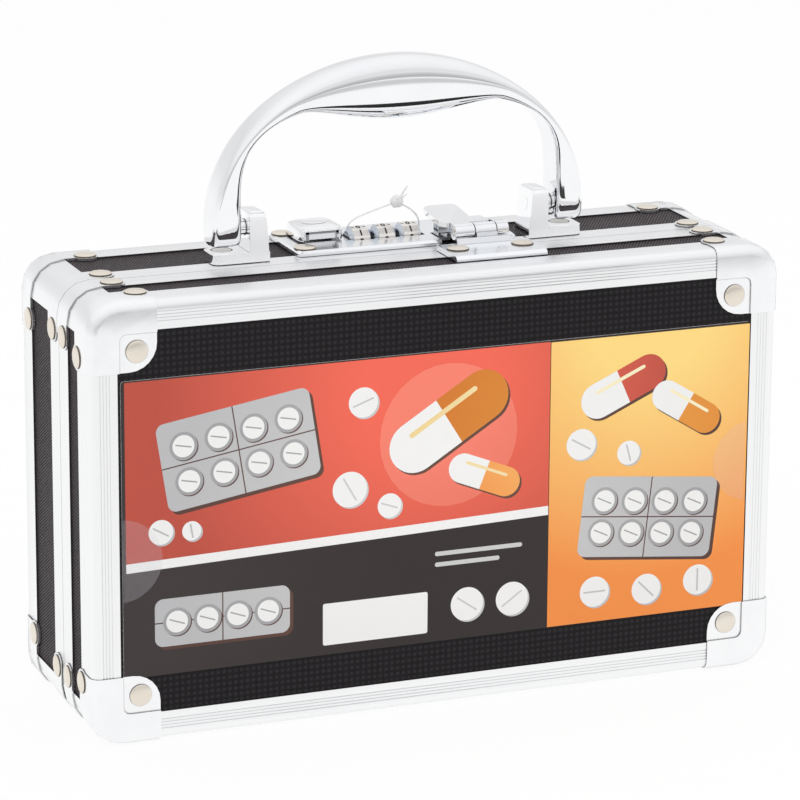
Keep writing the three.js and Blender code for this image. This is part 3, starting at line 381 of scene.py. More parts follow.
def texturedBoard(name, first, second, woven):
    material, tree, shader = newMaterial(name, (0.012, 0.011, 0.012), 0.5, specular=0.16)
    pattern = laminate["weave" if woven else "dots"]
    pitch, lit = pattern["pitch"], pattern["lit"]
    coords = axes(tree)
    u, v = coords[first], coords[second]
    if woven:
        slope = maths(tree, "MULTIPLY", v, pattern["slope"])
        one = wave(tree, maths(tree, "ADD", u, slope), pitch)
        two = wave(tree, maths(tree, "SUBTRACT", u, slope), pitch)
        height = maths(tree, "ADD", one, two)
        tree.links.new(spread(tree, height, 0.03, 0.22, *lit), shader.inputs["Specular IOR Level"])
    else:
        height = maths(tree, "ABSOLUTE", maths(tree, "MULTIPLY", wave(tree, u, pitch), wave(tree, v, pitch)))
    speck = noise(tree, 900)
    tint = blendColours(tree, spread(tree, height, 0, 1, *lit), pattern["dark"], pattern["pale"])
    tint = blendColours(tree, spread(tree, speck, 0, 0.2), tint, laminate["speck"])
    linkLooks(tree, shader, tint, spread(tree, speck, 0.4, 0.55))
    relief = maths(tree, "ADD", height, maths(tree, "MULTIPLY", speck, 0.25))
    addBump(tree, shader, relief, laminate["relief"])
    return material


def clothMaterial(name, dark, pale, pitch, across, along, ribs=False):
    material, tree, shader = newMaterial(name, dark, 0.85, specular=0.15)
    shader.inputs["Sheen Weight"].default_value = 0.25
    coords = axes(tree)
    fuzz = noise(tree, 1600, detail=4)
    if ribs:
        cross = maths(tree, "MULTIPLY", wave(tree, coords[across], pitch * 2.2), 0.6)
        threads = maths(tree, "ADD", wave(tree, coords[along], pitch), cross)
    else:
        threads = maths(tree, "MULTIPLY", wave(tree, coords[across], pitch), wave(tree, coords[along], pitch))
    height = maths(tree, "ADD", maths(tree, "MULTIPLY", threads, 0.5), fuzz)
    tint = blendColours(tree, spread(tree, height, 0, 1, 0.1, 0.95), dark, pale)
    linkLooks(tree, shader, blendColours(tree, spread(tree, noise(tree, 40), 0, 0.35), tint, pale))
    addBump(tree, shader, height, 0.12)
    return material


def plainMaterial(name, colour, worn, roughness, specular=0.5):
    material, tree, shader = newMaterial(name, colour, roughness, specular=specular)
    tint = blendColours(tree, spread(tree, noise(tree, 500), 0, 1), worn, colour)
    linkLooks(tree, shader, tint, spread(tree, noise(tree, 800), roughness * 0.85, roughness * 1.15))
    return material


def clearFilm():
    material, tree, shader = newMaterial("clearFilm", (0.8, 0.78, 0.84), 0.25, specular=0.2)
    shader.inputs["Alpha"].default_value = 0.06
    tree.links.new(spread(tree, noise(tree, 300), 0.2, 0.32), shader.inputs["Roughness"])
    return material


def clearNylon():
    material, tree, shader = newMaterial("clearNylon", (0.95, 0.95, 0.945), 0.3)
    shader.inputs["Alpha"].default_value = 0.62
    milky = noise(tree, 700)
    tint = blendColours(tree, spread(tree, milky, 0, 1), (0.88, 0.88, 0.875), (0.97, 0.97, 0.965))
    linkLooks(tree, shader, tint, spread(tree, milky, 0.25, 0.4))
    return material


finishes = {
    "chrome": metalMaterial("mirrorChrome", (0.94, 0.945, 0.955), (0.91, 0.915, 0.93), 0.05, bump=0.0006),
    "post": metalMaterial("groundChrome", (0.985, 0.988, 0.995), (0.97, 0.975, 0.985), 0.06, bump=0.0006,
                          crease=0.5, front=0.4),
    "cap": metalMaterial("stampedNickel", (0.965, 0.97, 0.98), (0.94, 0.945, 0.955), 0.22, grainScale=260,
                         bump=0.001),
    "rivet": metalMaterial("rivetNickel", (0.88, 0.82, 0.73), (0.82, 0.75, 0.65), 0.3, grainScale=240,
                           bump=0.001),
    # darker chrome for the strips of painted shade and dark reflection inside the button's hollow
    "shade": metalMaterial("shadedChrome", (0.45, 0.455, 0.47), (0.26, 0.265, 0.275), 0.2, bump=0.0006),
    # dark rim colour for the rivet heads: dirt in the gap under each head and painted shade of that gap
    "rim": plainMaterial("rivetRimShade", (0.20, 0.17, 0.14), (0.12, 0.1, 0.08), 0.5, 0.3),
    "steel": metalMaterial("plainSteel", (0.72, 0.71, 0.69), (0.6, 0.59, 0.57), 0.3, grainScale=150),
    "dial": metalMaterial("dialNickel", (0.88, 0.85, 0.81), (0.76, 0.73, 0.70), 0.26, grainScale=300),
    "dialEnd": metalMaterial("dialEndSteel", (0.62, 0.66, 0.72), (0.5, 0.54, 0.6), 0.16, grainScale=200),
    "plate": metalMaterial("satinPlate", (0.96, 0.975, 0.995), (0.93, 0.945, 0.97), 0.2, (1, 8, 1), 120,
                           crease=0.5),
    "barX": drawnBar("drawnBarAlongWidth", "YZ"),
    "barZ": drawnBar("drawnBarUpright", "XY"),
    "frame": drawnBar("bentFrameAluminium", "Y", 0.001),
    "faceBoard": texturedBoard("dottedLaminate", "X", "Z", False),
    "topBoard": texturedBoard("wovenLaminateTop", "X", "Y", True),
    "sideBoard": texturedBoard("wovenLaminateSide", "Z", "Y", True),
    "lining": clothMaterial("fleeceLining", (0.012, 0.012, 0.014), (0.045, 0.045, 0.05), 0.9, "X", "Z"),
    "elastic": clothMaterial("ribbedElastic", (0.012, 0.012, 0.014), (0.06, 0.06, 0.066), 0.8, "X", "Z",
                             ribs=True),
    "thread": plainMaterial("blackThread", (0.05, 0.05, 0.055), (0.03, 0.03, 0.035), 0.6, 0.3),
    "nylon": clearNylon(),
    # black paint for the dial figures, also used for the strips of painted shade at the boards and the dial
    # slots
    "figure": plainMaterial("figurePaintAndShade", (0.012, 0.01, 0.01), (0.03, 0.026, 0.025), 0.45, 0.3),
    "film": clearFilm(),
}


def joinAndSmooth():
    # a node's loose triangles are joined and shaded smooth, with edges above the angle kept sharp
    group = bpy.data.node_groups.new("joinAndSmooth", "GeometryNodeTree")
    group.interface.new_socket("Geometry", in_out="INPUT", socket_type="NodeSocketGeometry")
    group.interface.new_socket("Geometry", in_out="OUTPUT", socket_type="NodeSocketGeometry")
    make, link = group.nodes.new, group.links.new
    start, merge = make("NodeGroupInput"), make("GeometryNodeMergeByDistance")
    drop, soft = make("GeometryNodeRemoveAttribute"), make("GeometryNodeSetShadeSmooth")
    angle, steep = make("GeometryNodeInputMeshEdgeAngle"), make("FunctionNodeCompare")
    sharp, end = make("GeometryNodeSetShadeSmooth"), make("NodeGroupOutput")
    merge.inputs["Distance"].default_value = 1e-6
    drop.inputs["Name"].default_value = "custom_normal"
    steep.operation = "GREATER_THAN"
    steep.inputs[1].default_value = math.radians(35)
    sharp.domain = "EDGE"
    sharp.inputs["Shade Smooth"].default_value = False
    for source, target in ((start, merge), (merge, drop), (drop, soft), (soft, sharp), (sharp, end)):
        link(source.outputs[0], target.inputs[0])
    link(angle.outputs["Unsigned Angle"], steep.inputs[0])
    link(steep.outputs[0], sharp.inputs["Selection"])
    return group


# rounded edges on the bright hardware, in millimetres
edgeRounding = {"handle_post": 0.35, "hasp_leaf": 0.25, "hasp_tongue": 0.3, "release_button": 0.8,
                "_corner_": 0.1}


def finishNodes():
    smoothing = joinAndSmooth()
    for name, node in nodes.items():
        finish = "chrome"
        if "_trim_" in name:
            finish = "barX" if name.endswith(("top", "bottom")) else "barZ"
        elif "mouth_frame" in name:
            finish = "frame"
        elif "_corner_" in name:
            finish = "cap"
        elif name.endswith("_panel"):
            finish = "faceBoard"
        elif "_board_" in name:
            finish = "topBoard" if name.endswith(("top", "bottom")) else "sideBoard"
        elif name in ("lock_plate", "hasp_leaf"):
            finish = "plate"
        elif "handle_post" in name:
            finish = "post"
        elif name in ("dial_axle", "lock_bolt", "button_spring") or "screw" in name:
            finish = "steel"
        node.data.materials.clear()
        node.data.materials.append(finishes[finish])
        node.modifiers.new("joinAndSmooth", "NODES").node_group = smoothing
        for part, width in edgeRounding.items():
            if part in name:
                bevel = node.modifiers.new("roundEdges", "BEVEL")
                bevel.width = width * mm
                bevel.segments = 2
                bevel.limit_method = "ANGLE"
                bevel.angle_limit = math.radians(40)
                bevel.harden_normals = True


finishNodes()

# dark strips of painted shade on both sides of each side board, where it meets the aluminium
gapShade = {"thick": 0.07, "off": 0.015, "below": 0.6, "above": 0.46}


def addGapLines():
    for body in ("lid", "base"):
        bm = bmesh.new()
        for side, axis, sign in (("top", 2, 1), ("bottom", 2, -1), ("left", 0, -1), ("right", 0, 1)):
            low, high = boxOf(f"{body}_board_{side}")
            outer = high[axis] if sign > 0 else low[axis]
            for edge, way in ((low.y, -1), (high.y, 1)):
                size, middle = high - low, (low + high) / 2
                size.y, size[axis] = gapShade["thick"], gapShade["below"] + gapShade["above"]
                middle.y = edge + way * (gapShade["off"] + gapShade["thick"] / 2)
                middle[axis] = outer + sign * (gapShade["above"] - gapShade["below"]) / 2
                addBlock(bm, middle, size)
        setPiece(toObject(bm, body + "GapShades"), body, "black_board", "figure")


addGapLines()
addStudio()
print("materials and studio ready")

# rivets: low domes over the stamped heads, each set rides with its shell. faceInset is from both edges of a
# face; sideInsets are from the case's end, and from the face or the seam; lifts are above the frame's box
rivet = {"radius": 3.18, "rise": 0.78, "rim": 0.3, "segments": 28, "faceInset": 13.86,
         "sideInsets": ((16.5, 9), (13.9, 5)), "trimLift": 0.5, "footLift": 0.06, "seamGap": 0.1,
         "onTop": {"lid": [(12.6, -11.2, 1.75), (32.6, -11.2, 1.75)],
                   "base": [(-27.9, 5, 1.65), (-27.9, 24, 1.65)]}}


def freshVerts(bm, before):
    return [v for v in bm.verts if v not in before]


def addRivetHead(bm, point, direction):
    radius, rise = rivet["radius"], rivet["rise"]
    profile = [(0, rise), (1.2, rise - 0.04), (2.2, rise - 0.15), (2.85, rise - 0.3), (radius, rivet["rim"]),
               (radius - 0.03, 0), (radius - 0.03, -0.1)]
    before = set(bm.verts)
    verts = [bm.verts.new((r, 0, h)) for r, h in profile]
    edges = [bm.edges.new(pair) for pair in zip(verts, verts[1:])]
    bmesh.ops.spin(bm, geom=verts + edges, cent=(0, 0, 0), axis=(0, 0, 1), angle=math.tau,
                   steps=rivet["segments"], use_merge=True, use_duplicate=False)
    bmesh.ops.remove_doubles(bm, verts=freshVerts(bm, before), dist=0.001)
    fresh = freshVerts(bm, before)
    bmesh.ops.contextual_create(bm, geom=list({e for v in fresh for e in v.link_edges if e.is_boundary}))
    for f in {f for v in fresh for f in v.link_faces}:
        f.normal_update()
        # the sideways faces round each head take the dark rim colour: dirt in the gap under the head and
        # painted shade of that gap
        f.material_index = int(abs(f.normal.z) < 0.3)
    turn = Vector(direction).to_track_quat("Z", "Y").to_matrix().to_4x4()
    bmesh.ops.transform(bm, matrix=Matrix.Translation(point) @ turn, verts=fresh)


def addRivets():
    low, high = boxOf("lid_mouth_frame")
    front, back = boxOf("lid_trim_top")[0].y, boxOf("base_trim_top")[1].y
    (outer, fromFace), (inner, fromSeam) = rivet["sideInsets"]
    for body, face, out, name in (("lid", front, -1, "lidRivets"), ("base", back, 1, "baseRivets")):
        bm = bmesh.new()
        places = ((outer, face - out * fromFace), (inner, high.y + rivet["seamGap"] + out * fromSeam))
        for sx, x in ((-1, low.x), (1, high.x)):
            for sz, z in ((-1, low.z), (1, high.z)):
                deep = rivet["faceInset"]
                addRivetHead(bm, (x - sx * deep, face, z - sz * deep), (0, out, 0))
                for inset, y in places:
                    lift = rivet["trimLift"] if sz > 0 else rivet["footLift"]
                    addRivetHead(bm, (x - sx * inset, y, z + sz * lift), (0, 0, sz))
                    addRivetHead(bm, (x + sx * rivet["trimLift"], y, z - sz * inset), (sx, 0, 0))
        for x, y, lift in rivet["onTop"][body]:
            addRivetHead(bm, (x, y, high.z + lift), (0, 0, 1))
        faceOutwards(bm)
        setPiece(toObject(bm, name, 40), body, "plain_steel", ("rivet", "rim"))


addRivets()
print("rivets set")

# carry handle: elliptic outside, flatter arch inside with a belly that fills the fingers
handle = {"centreX": -0.6, "pivotY": 4.5, "pivotZ": 137.35, "halfWidth": 56.8, "rise": 46.9,
          "innerHalfWidth": 48, "innerStart": 3.5, "innerRise": 30, "power": 3.8, "belly": 5.3,
          "gripHalf": 29, "halfDepth": 6.1, "extraDepth": 0.8, "armSquare": 4.6, "gripSquare": 3.2,
          "underSquare": 2.5, "stations": 96, "segments": 56,
          # rounded feet: drop below the pivots, half depth and how much narrower
          "feet": [(4.9, 2.2, 1.2), (4.8, 3.1, 0.75), (4.5, 4.1, 0.45), (3.9, 5.0, 0.2), (3.0, 5.6, 0.1),
                   (1.8, 5.95, 0.02)]}


def handleStations():
    half, innerHalf, arm = handle["halfWidth"], handle["innerHalfWidth"], handle["armSquare"]
    stations = []
    for drop, depth, narrow in handle["feet"]:
        z = handle["pivotZ"] - drop
        stations.append(((-innerHalf - narrow, z), (-half + narrow, z), depth, [arm] * 2))
    for i in range(handle["stations"] + 1):
        angle = math.pi * (i / handle["stations"] - 0.5)
        outer = (half * math.sin(angle), handle["pivotZ"] + handle["rise"] * math.cos(angle))
        innerX = innerHalf * math.copysign(abs(math.sin(angle)) ** 1.1, math.sin(angle))
        share = min(abs(innerX) / innerHalf, 1)
        arch = handle["innerRise"] * (1 - share ** handle["power"]) ** (1 / handle["power"])
        along = max(1 - (innerX / handle["gripHalf"]) ** 2, 0)
        innerZ = handle["pivotZ"] + handle["innerStart"] + arch - handle["belly"] * along ** 1.2
        grip = 1 - share ** 2
        squares = [arm + (handle[end] - arm) * grip for end in ("gripSquare", "underSquare")]
        stations.append(((innerX, innerZ), outer, handle["halfDepth"] + handle["extraDepth"] * grip, squares))
    feet = stations[:len(handle["feet"])]
    stations += [((-i[0], i[1]), (-o[0], o[1]), depth, squares) for i, o, depth, squares in reversed(feet)]
    return stations


def sweepRings(bm, stations, segments, placeVertex):
    # a circle carried through the stations, each vertex placed from its turn round the ring
    turn = bm.verts.layers.float.new("turn")
    ring = bmesh.ops.create_circle(bm, cap_ends=True, segments=segments, radius=1)["verts"]
    for v in ring:
        v[turn] = math.atan2(v.co.y, v.co.x)
    edges = list({e for v in ring for e in v.link_edges})
    for number, station in enumerate(stations):
        if number:
            made = bmesh.ops.extrude_edge_only(bm, edges=edges)["geom"]
            ring = [g for g in made if isinstance(g, bmesh.types.BMVert)]
            edges = [g for g in made if isinstance(g, bmesh.types.BMEdge) and all(v in ring for v in g.verts)]
        for v in ring:
            v.co = placeVertex(station, v[turn])
    bmesh.ops.contextual_create(bm, geom=edges)


def handlePoint(station, turn):
    inner, outer, depth, squares = station
    power = 2 / squares[math.cos(turn) < 0]
    across, side = (math.copysign(abs(q) ** power, q) for q in (math.cos(turn), math.sin(turn)))
    share = 0.5 + 0.5 * across
    return (handle["centreX"] + inner[0] + (outer[0] - inner[0]) * share, handle["pivotY"] + depth * side,
            inner[1] + (outer[1] - inner[1]) * share)


def addHandle():
    bm = bmesh.new()
    sweepRings(bm, handleStations(), handle["segments"], handlePoint)
    faceOutwards(bm)
    setPiece(toObject(bm, "carryHandle", 60), "handle", "hardware_chrome", "chrome", "handle")


addHandle()
print("handle shaped")

# printed card: plain colour areas with tablets, capsules and blister packs, and a blank box to write in.
# each ink has its colour at the edge and in the middle of its field, and that middle in millimetres
ink = {
    "red": ((0.50, 0.083, 0.055), (0.91, 0.148, 0.095), (-5, 95)),
    "charcoal": ((0.033, 0.026, 0.025), (0.046, 0.036, 0.036), (-95, 40)),
    "orange": ((0.90, 0.285, 0.065), (0.98, 0.70, 0.23), (64, 112)),
    "white": ((0.86, 0.86, 0.85), (0.9, 0.9, 0.89), (0, 60)),
    "cream": ((0.88, 0.66, 0.28), (0.93, 0.84, 0.56), (66, 84)),
    "amber": ((0.62, 0.17, 0.02), (0.78, 0.30, 0.05), (60, 70)),
    "paleRed": ((0.66, 0.13, 0.09), (0.94, 0.23, 0.16), (-5, 95)),
    "grey": ((0.50, 0.50, 0.51), (0.62, 0.62, 0.62), (0, 60)),
    "foil": ((0.36, 0.36, 0.37), (0.44, 0.44, 0.45), (0, 60)),
    "shade": ((0.10, 0.05, 0.04), (0.14, 0.07, 0.05), (0, 60)),
}


def disc(colour, x, z, radius, layer):
    return [(colour, x, z, 2 * radius, 2 * radius, radius, 0, layer)]


def tablet(x, z, radius, turn):
    score = ("grey", x, z, radius * 1.5, 0.5, 0.2, turn, 4)
    return disc("grey", x + 0.5, z - 0.5, radius, 2) + disc("white", x, z, radius, 3) + [score]


def turned(x, z, along, up, turn):
    cosine, sine = math.cos(math.radians(turn)), math.sin(math.radians(turn))
    return x + along * cosine + up * sine, z - along * sine + up * cosine


def capsule(x, z, length, turn, first="white", second="amber"):
    width = length * 0.38
    return [("shade", x + 0.6, z - 0.7, length, width, width / 2, turn, 2),
            (second, x, z, length, width, width / 2, turn, 3),
            (first, *turned(x, z, -length * 0.25, 0, turn), length * 0.5, width, width / 2, turn, 4),
            (first, *turned(x, z, -length * 0.125, 0, turn), length * 0.25, width, 0.1, turn, 4.5),
            ("cream", *turned(x, z, 0, width * 0.22, turn), length * 0.6, width * 0.1, width * 0.05, turn, 5)]


def blisterPack(x, z, turn, rows=2, columns=4, pitch=10.4):
    # foil card with a tablet in each pocket
    width, height = columns * pitch + 4, rows * pitch + 5
    printed = [("shade", x + 1, z - 1, width, height, 2.5, turn, 2),
               ("grey", x, z, width, height, 2.5, turn, 3),
               ("shade", x, z, 0.35, height, 0.1, turn, 3.5), ("shade", x, z, width, 0.35, 0.1, turn, 3.7)]
    for i in range(columns):
        for j in range(rows):
            place = turned(x, z, (i - (columns - 1) / 2) * pitch, (j - (rows - 1) / 2) * pitch, turn)
            printed += disc("shade", place[0] + 0.3, place[1] - 0.3, 4.1, 4) + disc("foil", *place, 4.1, 4.5)
            printed += disc("white", *place, 3.2, 5) + [("foil", *place, 4.8, 0.4, 0.1, turn + 20, 5.5)]
    return printed


def stripes(colour, x, z, lengths, pitch=3.2, height=1.3):
    return [(colour, x + length / 2, z - i * pitch, length, height, height / 2, 0, 2)
            for i, length in enumerate(lengths)]


# ink, centre across and up, width, height, corner, turn in degrees, layer
cardPrint = [
    ("red", -30.6, 80.1, 127.2, 50.4, 0.2, 0, 1), ("red", -30.6, 56.2, 127.2, 4.8, 0.1, -1.53, 1.3),
    ("white", -30.6, 53.6, 127.2, 2.7, 0.1, -1.53, 1.6), ("orange", 64.5, 62.5, 62.6, 85.2, 0.2, 0, 3),
    ("white", -20.1, 28.8, 31.9, 12.4, 0.6, 0, 1), *disc("paleRed", 2, 81, 21, 1.4),
    *blisterPack(-61, 83, -9), *blisterPack(-66, 35, 0, 1, 4, 9),
    *capsule(2, 85, 40, -32), *capsule(13, 68, 23, 22, "white", "orange"), *tablet(-24, 93, 4.4, -20),
    *tablet(-28, 68, 5.2, 60), *tablet(-16, 62, 3.6, 20), *tablet(-84, 61.5, 3.6, 30),
    *tablet(-75, 61, 2.8, 80), *tablet(8, 30, 5, 35), *tablet(22, 30, 5, -35),
    *stripes("grey", -2, 46, (27, 20)),
]
cardPrint += [(c, x, z, w, h, r, t, layer + 3) for c, x, z, w, h, r, t, layer in
              [*capsule(56, 90, 28, -24, "white", "red"), *capsule(76, 82, 24, 32, "white", "amber"),
               *tablet(43, 74, 4.6, 30), *tablet(58, 70, 3.6, 75), *blisterPack(64.5, 50, 6, 2, 4, 9.6),
               *tablet(48, 29, 4.6, 0), *tablet(64.5, 28, 4.6, 45), *tablet(81, 29, 4.6, 90)]]
cardStock = {"corner": 0.8, "inkThickness": 0.012, "layerStep": 0.01}


def addCard():
    low, high = boxOf("label_card")
    bm = bmesh.new()
    addBlock(bm, (low + high) / 2, high - low)
    deep = [e for e in bm.edges if abs((e.verts[0].co - e.verts[1].co).y) > 0.1]
    roundOff(bm, deep, cardStock["corner"])
    names = list(ink)
    for f in bm.faces:
        f.normal_update()
        f.material_index = names.index("charcoal" if abs(f.normal.y) > 0.5 else "white")
    upright = Matrix.Rotation(math.radians(90), 4, "X")
    for name, x, z, width, height, corner, turn, layer in cardPrint:
        made = bmesh.ops.create_grid(bm, x_segments=1, y_segments=1, size=0.5)["verts"]
        bmesh.ops.scale(bm, vec=(width, height, 1), verts=made)
        roundOff(bm, made, corner * 0.999, 8, "VERTICES")
        flat = [f for f in bm.faces if all(abs(v.co.z) < 1e-6 for v in f.verts)]
        face = next(f for f in flat if f.calc_area() > 0.5 * width * height)
        raised = raiseFaces(bm, [face], cardStock["inkThickness"])
        part = list({v for v in raised} | {w for v in raised for e in v.link_edges for w in e.verts})
        place = Matrix.Translation((x, low.y - cardStock["layerStep"] * layer + 0.004, z))
        slant = Matrix.Rotation(math.radians(turn), 4, "Y")
        bmesh.ops.transform(bm, matrix=place @ slant @ upright, verts=part)
        for f in {f for v in part for f in v.link_faces}:
            f.material_index = names.index(name)
    faceOutwards(bm)
    piece = toObject(bm, "printedCard")
    for name, (edge, middle, (x, z)) in ink.items():
        piece.data.materials.append(inkMaterial(name, edge, middle, x, z))
    setPiece(piece, "lid", "card", (), "label_card")


def inkMaterial(name, edge, middle, x, z):
    material, tree, shader = newMaterial(name + "Ink", middle, 0.38, specular=0.25)
    away = addNode(tree, "Mapping", objectCoords(tree), (-x * mm, 0, -z * mm), None, (1, 0, 1))
    length = tree.nodes.new("ShaderNodeVectorMath")
    length.operation = "LENGTH"
    tree.links.new(away, length.inputs[0])
    fade = spread(tree, length.outputs["Value"], 1, 0, 0.02, 0.08)
    tint = blendColours(tree, fade, edge, middle)
    linkLooks(tree, shader, tint, spread(tree, noise(tree, 700), 0.34, 0.42))
    return material


# clear round seals over the card's two ends
seals = {"radius": 12, "thickness": 0.06, "places": [(-95.7, 54.2), (97.1, 63.8)], "trimEdge": 95.1}


def addSeals():
    front = boxOf("lid_trim_top")[0].y
    upright = Matrix.Rotation(math.radians(90), 4, "X")
    for (x, z), name in zip(seals["places"], ("sealLeft", "sealRight")):
        bm = bmesh.new()
        bmesh.ops.create_circle(bm, cap_ends=True, segments=64, radius=seals["radius"])
        bmesh.ops.translate(bm, verts=bm.verts, vec=(x, z, 0))
        side = math.copysign(1, x)
        cutThrough(bm, (side * seals["trimEdge"], 0, 0), (side, 0, 0), clear_outer=True)
        raiseFaces(bm, bm.faces[:], seals["thickness"])
        bmesh.ops.transform(bm, matrix=Matrix.Translation((0, front - 0.02, 0)) @ upright, verts=bm.verts)
        faceOutwards(bm)
        setPiece(toObject(bm, name), "lid", "card", "film")


addCard()
addSeals()
print("card printed")

# dials: ten flats between round tapered ends, with plain figures painted on the flats
dial = {"apothem": 4.5, "corner": 4.66, "endRadius": 3.35, "halfFlat": 2.4, "halfWidth": 3.4, "phase": 25,
        "segments": 80, "shift": -0.7, "sink": 1.7, "slot": (-4.05, -3.42, 3.9)}
dialNames = ("dial_1", "dial_2", "dial_3")
figures = {"height": 2.7, "bold": 0.11, "front": 3, "sunk": 0.03, "tick": (0.95, 0.3, 0.1), "tickAt": 1.75}


def dialPoint(station, turn):
    x, share = station
    fromFlat = (math.degrees(turn) - dial["phase"] + 18) % 36 - 18
    radius = min(dial["apothem"] / math.cos(math.radians(fromFlat)), dial["corner"])
    radius = dial["endRadius"] + (radius - dial["endRadius"]) * share
    return x, radius * math.cos(turn), radius * math.sin(turn)


def dialMiddle(name):
    low, high = boxOf(name)
    return (low + high) / 2 + Vector((dial["shift"], 0, 0))


def addDials():
    half, flat = dial["halfWidth"], dial["halfFlat"]
    stations = [(-half, 0), (-half + 0.12, 0.12), (-flat - 0.1, 0.94), (-flat, 1)]
    stations += [(-x, share) for x, share in reversed(stations)]
    length, width, depth = figures["tick"]
    for name in dialNames:
        bm = bmesh.new()
        sweepRings(bm, stations, dial["segments"], dialPoint)
        for f in bm.faces:
            f.material_index = int(abs(f.calc_center_median().x) > flat - 0.04)
        for i in range(10):
            turn = Matrix.Rotation(math.radians(dial["phase"] + 72 * (i // 2)), 4, "X")
            place = (figures["tickAt"] * (-1) ** i, dial["apothem"] - 0.02, 0)
            for f in {f for v in addBlock(bm, place, (length, depth, width), turn) for f in v.link_faces}:
                f.material_index = 2
        bmesh.ops.translate(bm, verts=bm.verts, vec=dialMiddle(name))
        faceOutwards(bm)
        wheel = toObject(bm, name.replace("_", "") + "Wheel", 25)
        setPiece(wheel, name, "dial_nickel", ("dial", "dialEnd", "figure"), name)


def textMesh(word):
    curve = bpy.data.curves.new("figure", "FONT")
    curve.body = word
    curve.size = figures["height"]
    curve.extrude = figures["sunk"]
    curve.offset = figures["bold"]
    curve.align_x, curve.align_y = "CENTER", "CENTER"
    curve.resolution_u = 3
    return curveMesh(curve)


def addFigures():
    meshes = [textMesh("I" if number == 1 else str(number)) for number in range(10)]
    for name in dialNames:
        middle = dialMiddle(name)
        bm = bmesh.new()
        for number, mesh in enumerate(meshes):
            angle = math.radians(dial["phase"] + 36 * (figures["front"] + number - 1))
            out = Vector((0, math.cos(angle), math.sin(angle)))
            up = Vector((0, math.sin(angle), -math.cos(angle)))
            turn = Matrix((Vector((1, 0, 0)), up, out)).transposed().to_4x4()
            place = Matrix.Translation(middle + out * dial["apothem"])
            before = set(bm.verts)
            bm.from_mesh(mesh)
            bmesh.ops.transform(bm, matrix=place @ turn, verts=freshVerts(bm, before))
        bmesh.ops.remove_doubles(bm, verts=bm.verts, dist=0.001)
        faceOutwards(bm)
        setPiece(toObject(bm, name.replace("_", "") + "Figures"), name, "dial_nickel", "figure")


def addSlotGaps():
    # a thin dark strip on the plate: painted shade of the gap that each dial's slot leaves at its left end
    start, end, reach = dial["slot"]
    bm = bmesh.new()
    for name in dialNames:
        middle = dialMiddle(name) + Vector(((start + end) / 2, 0, dial["sink"] + 0.02))
        addBlock(bm, middle, (end - start, 2 * reach, 0.05))
    setPiece(toObject(bm, "dialSlotShades"), "base", "hardware_chrome", "figure")


addDials()
addFigures()
addSlotGaps()

# plain caps close the posts' bores, flush with the sloping inner faces
boreCap = {"radius": 1.85, "taper": 1.1, "crown": 1.2, "proud": 0.03, "depth": 0.5}


def addBoreCaps():
    radius = boreCap["radius"]
    for name, side in (("left", -1), ("right", 1)):
        low, high = boxOf("handle_post_" + name)
        middle = sum(boxOf("handle_pin_" + name), Vector()) / 2
        bm = bmesh.new()
        bmesh.ops.create_cone(bm, cap_ends=True, segments=32, radius1=radius, radius2=radius, depth=1)
        bmesh.ops.rotate(bm, matrix=Matrix.Rotation(math.radians(90), 3, "Y"), verts=bm.verts)
        bmesh.ops.translate(bm, vec=(0, middle.y, middle.z), verts=bm.verts)
        for v in bm.verts:
            slope = boreCap["taper"] * (v.co.z - low.z) / (high.z - boreCap["crown"] - low.z)
            inward = -boreCap["proud"] if v.co.x * side < 0 else boreCap["depth"]
            v.co.x = (low.x if side > 0 else high.x) + side * (slope + inward)
        faceOutwards(bm)
        setPiece(toObject(bm, name + "BoreCap", 40), "base", "hardware_chrome", "post")


addBoreCaps()

# a low oval pad on the release button
thumbPad = {"reach": (3.7, 2.9), "thickness": 0.5, "edge": 0.25, "sunk": 0.2, "back": 0.6}


def addThumbPad():
    low, high = boxOf("release_button")
    middle = (low + high) / 2
    bm = bmesh.new()
    bmesh.ops.create_circle(bm, cap_ends=True, segments=40, radius=1)
    top = raiseFaces(bm, bm.faces[:], 1)
    bmesh.ops.scale(bm, vec=(*thumbPad["reach"], thumbPad["thickness"]), verts=bm.verts)
    roundOff(bm, [e for e in bm.edges if all(v in top for v in e.verts)], thumbPad["edge"])
    place = (middle.x, middle.y + thumbPad["back"], high.z - thumbPad["sunk"])
    bmesh.ops.translate(bm, vec=place, verts=bm.verts)
    faceOutwards(bm)
    setPiece(toObject(bm, "thumbPad", 50), "release_button", "hardware_chrome", "chrome")


addThumbPad()

# dark strips inside the release button's open front: painted shade and dark reflection of its hollow, in
# millimetres; legs are its left and right ends
buttonHollowShade = {"wall": 1.7, "roof": 1.2, "height": 3.9, "behind": 0.95, "thick": 0.2, "band": 0.95,
             "legs": (1.3, 0.7), "bite": 0.1}


def addButtonLip():
    low, high = boxOf("release_button")
    wall = buttonHollowShade["wall"] - buttonHollowShade["bite"]
    left, right = low.x + wall, high.x - wall
    top, foot = high.z - buttonHollowShade["roof"] + buttonHollowShade["bite"], high.z - buttonHollowShade["height"]
    bars = ((left, right, top - buttonHollowShade["band"]), (left, left + buttonHollowShade["legs"][0], foot),
            (right - buttonHollowShade["legs"][1], right, (top + foot) / 2))
    bm = bmesh.new()
    for start, end, under in bars:
        middle = ((start + end) / 2, low.y + buttonHollowShade["behind"], (top + under) / 2)
        addBlock(bm, middle, (end - start, buttonHollowShade["thick"], top - under))
    setPiece(toObject(bm, "buttonHollowShade"), "release_button", "hardware_chrome", "shade")


addButtonLip()

# return spring behind the button
spring = {"turns": 7, "wire": 0.14, "perTurn": 14, "travel": 3}


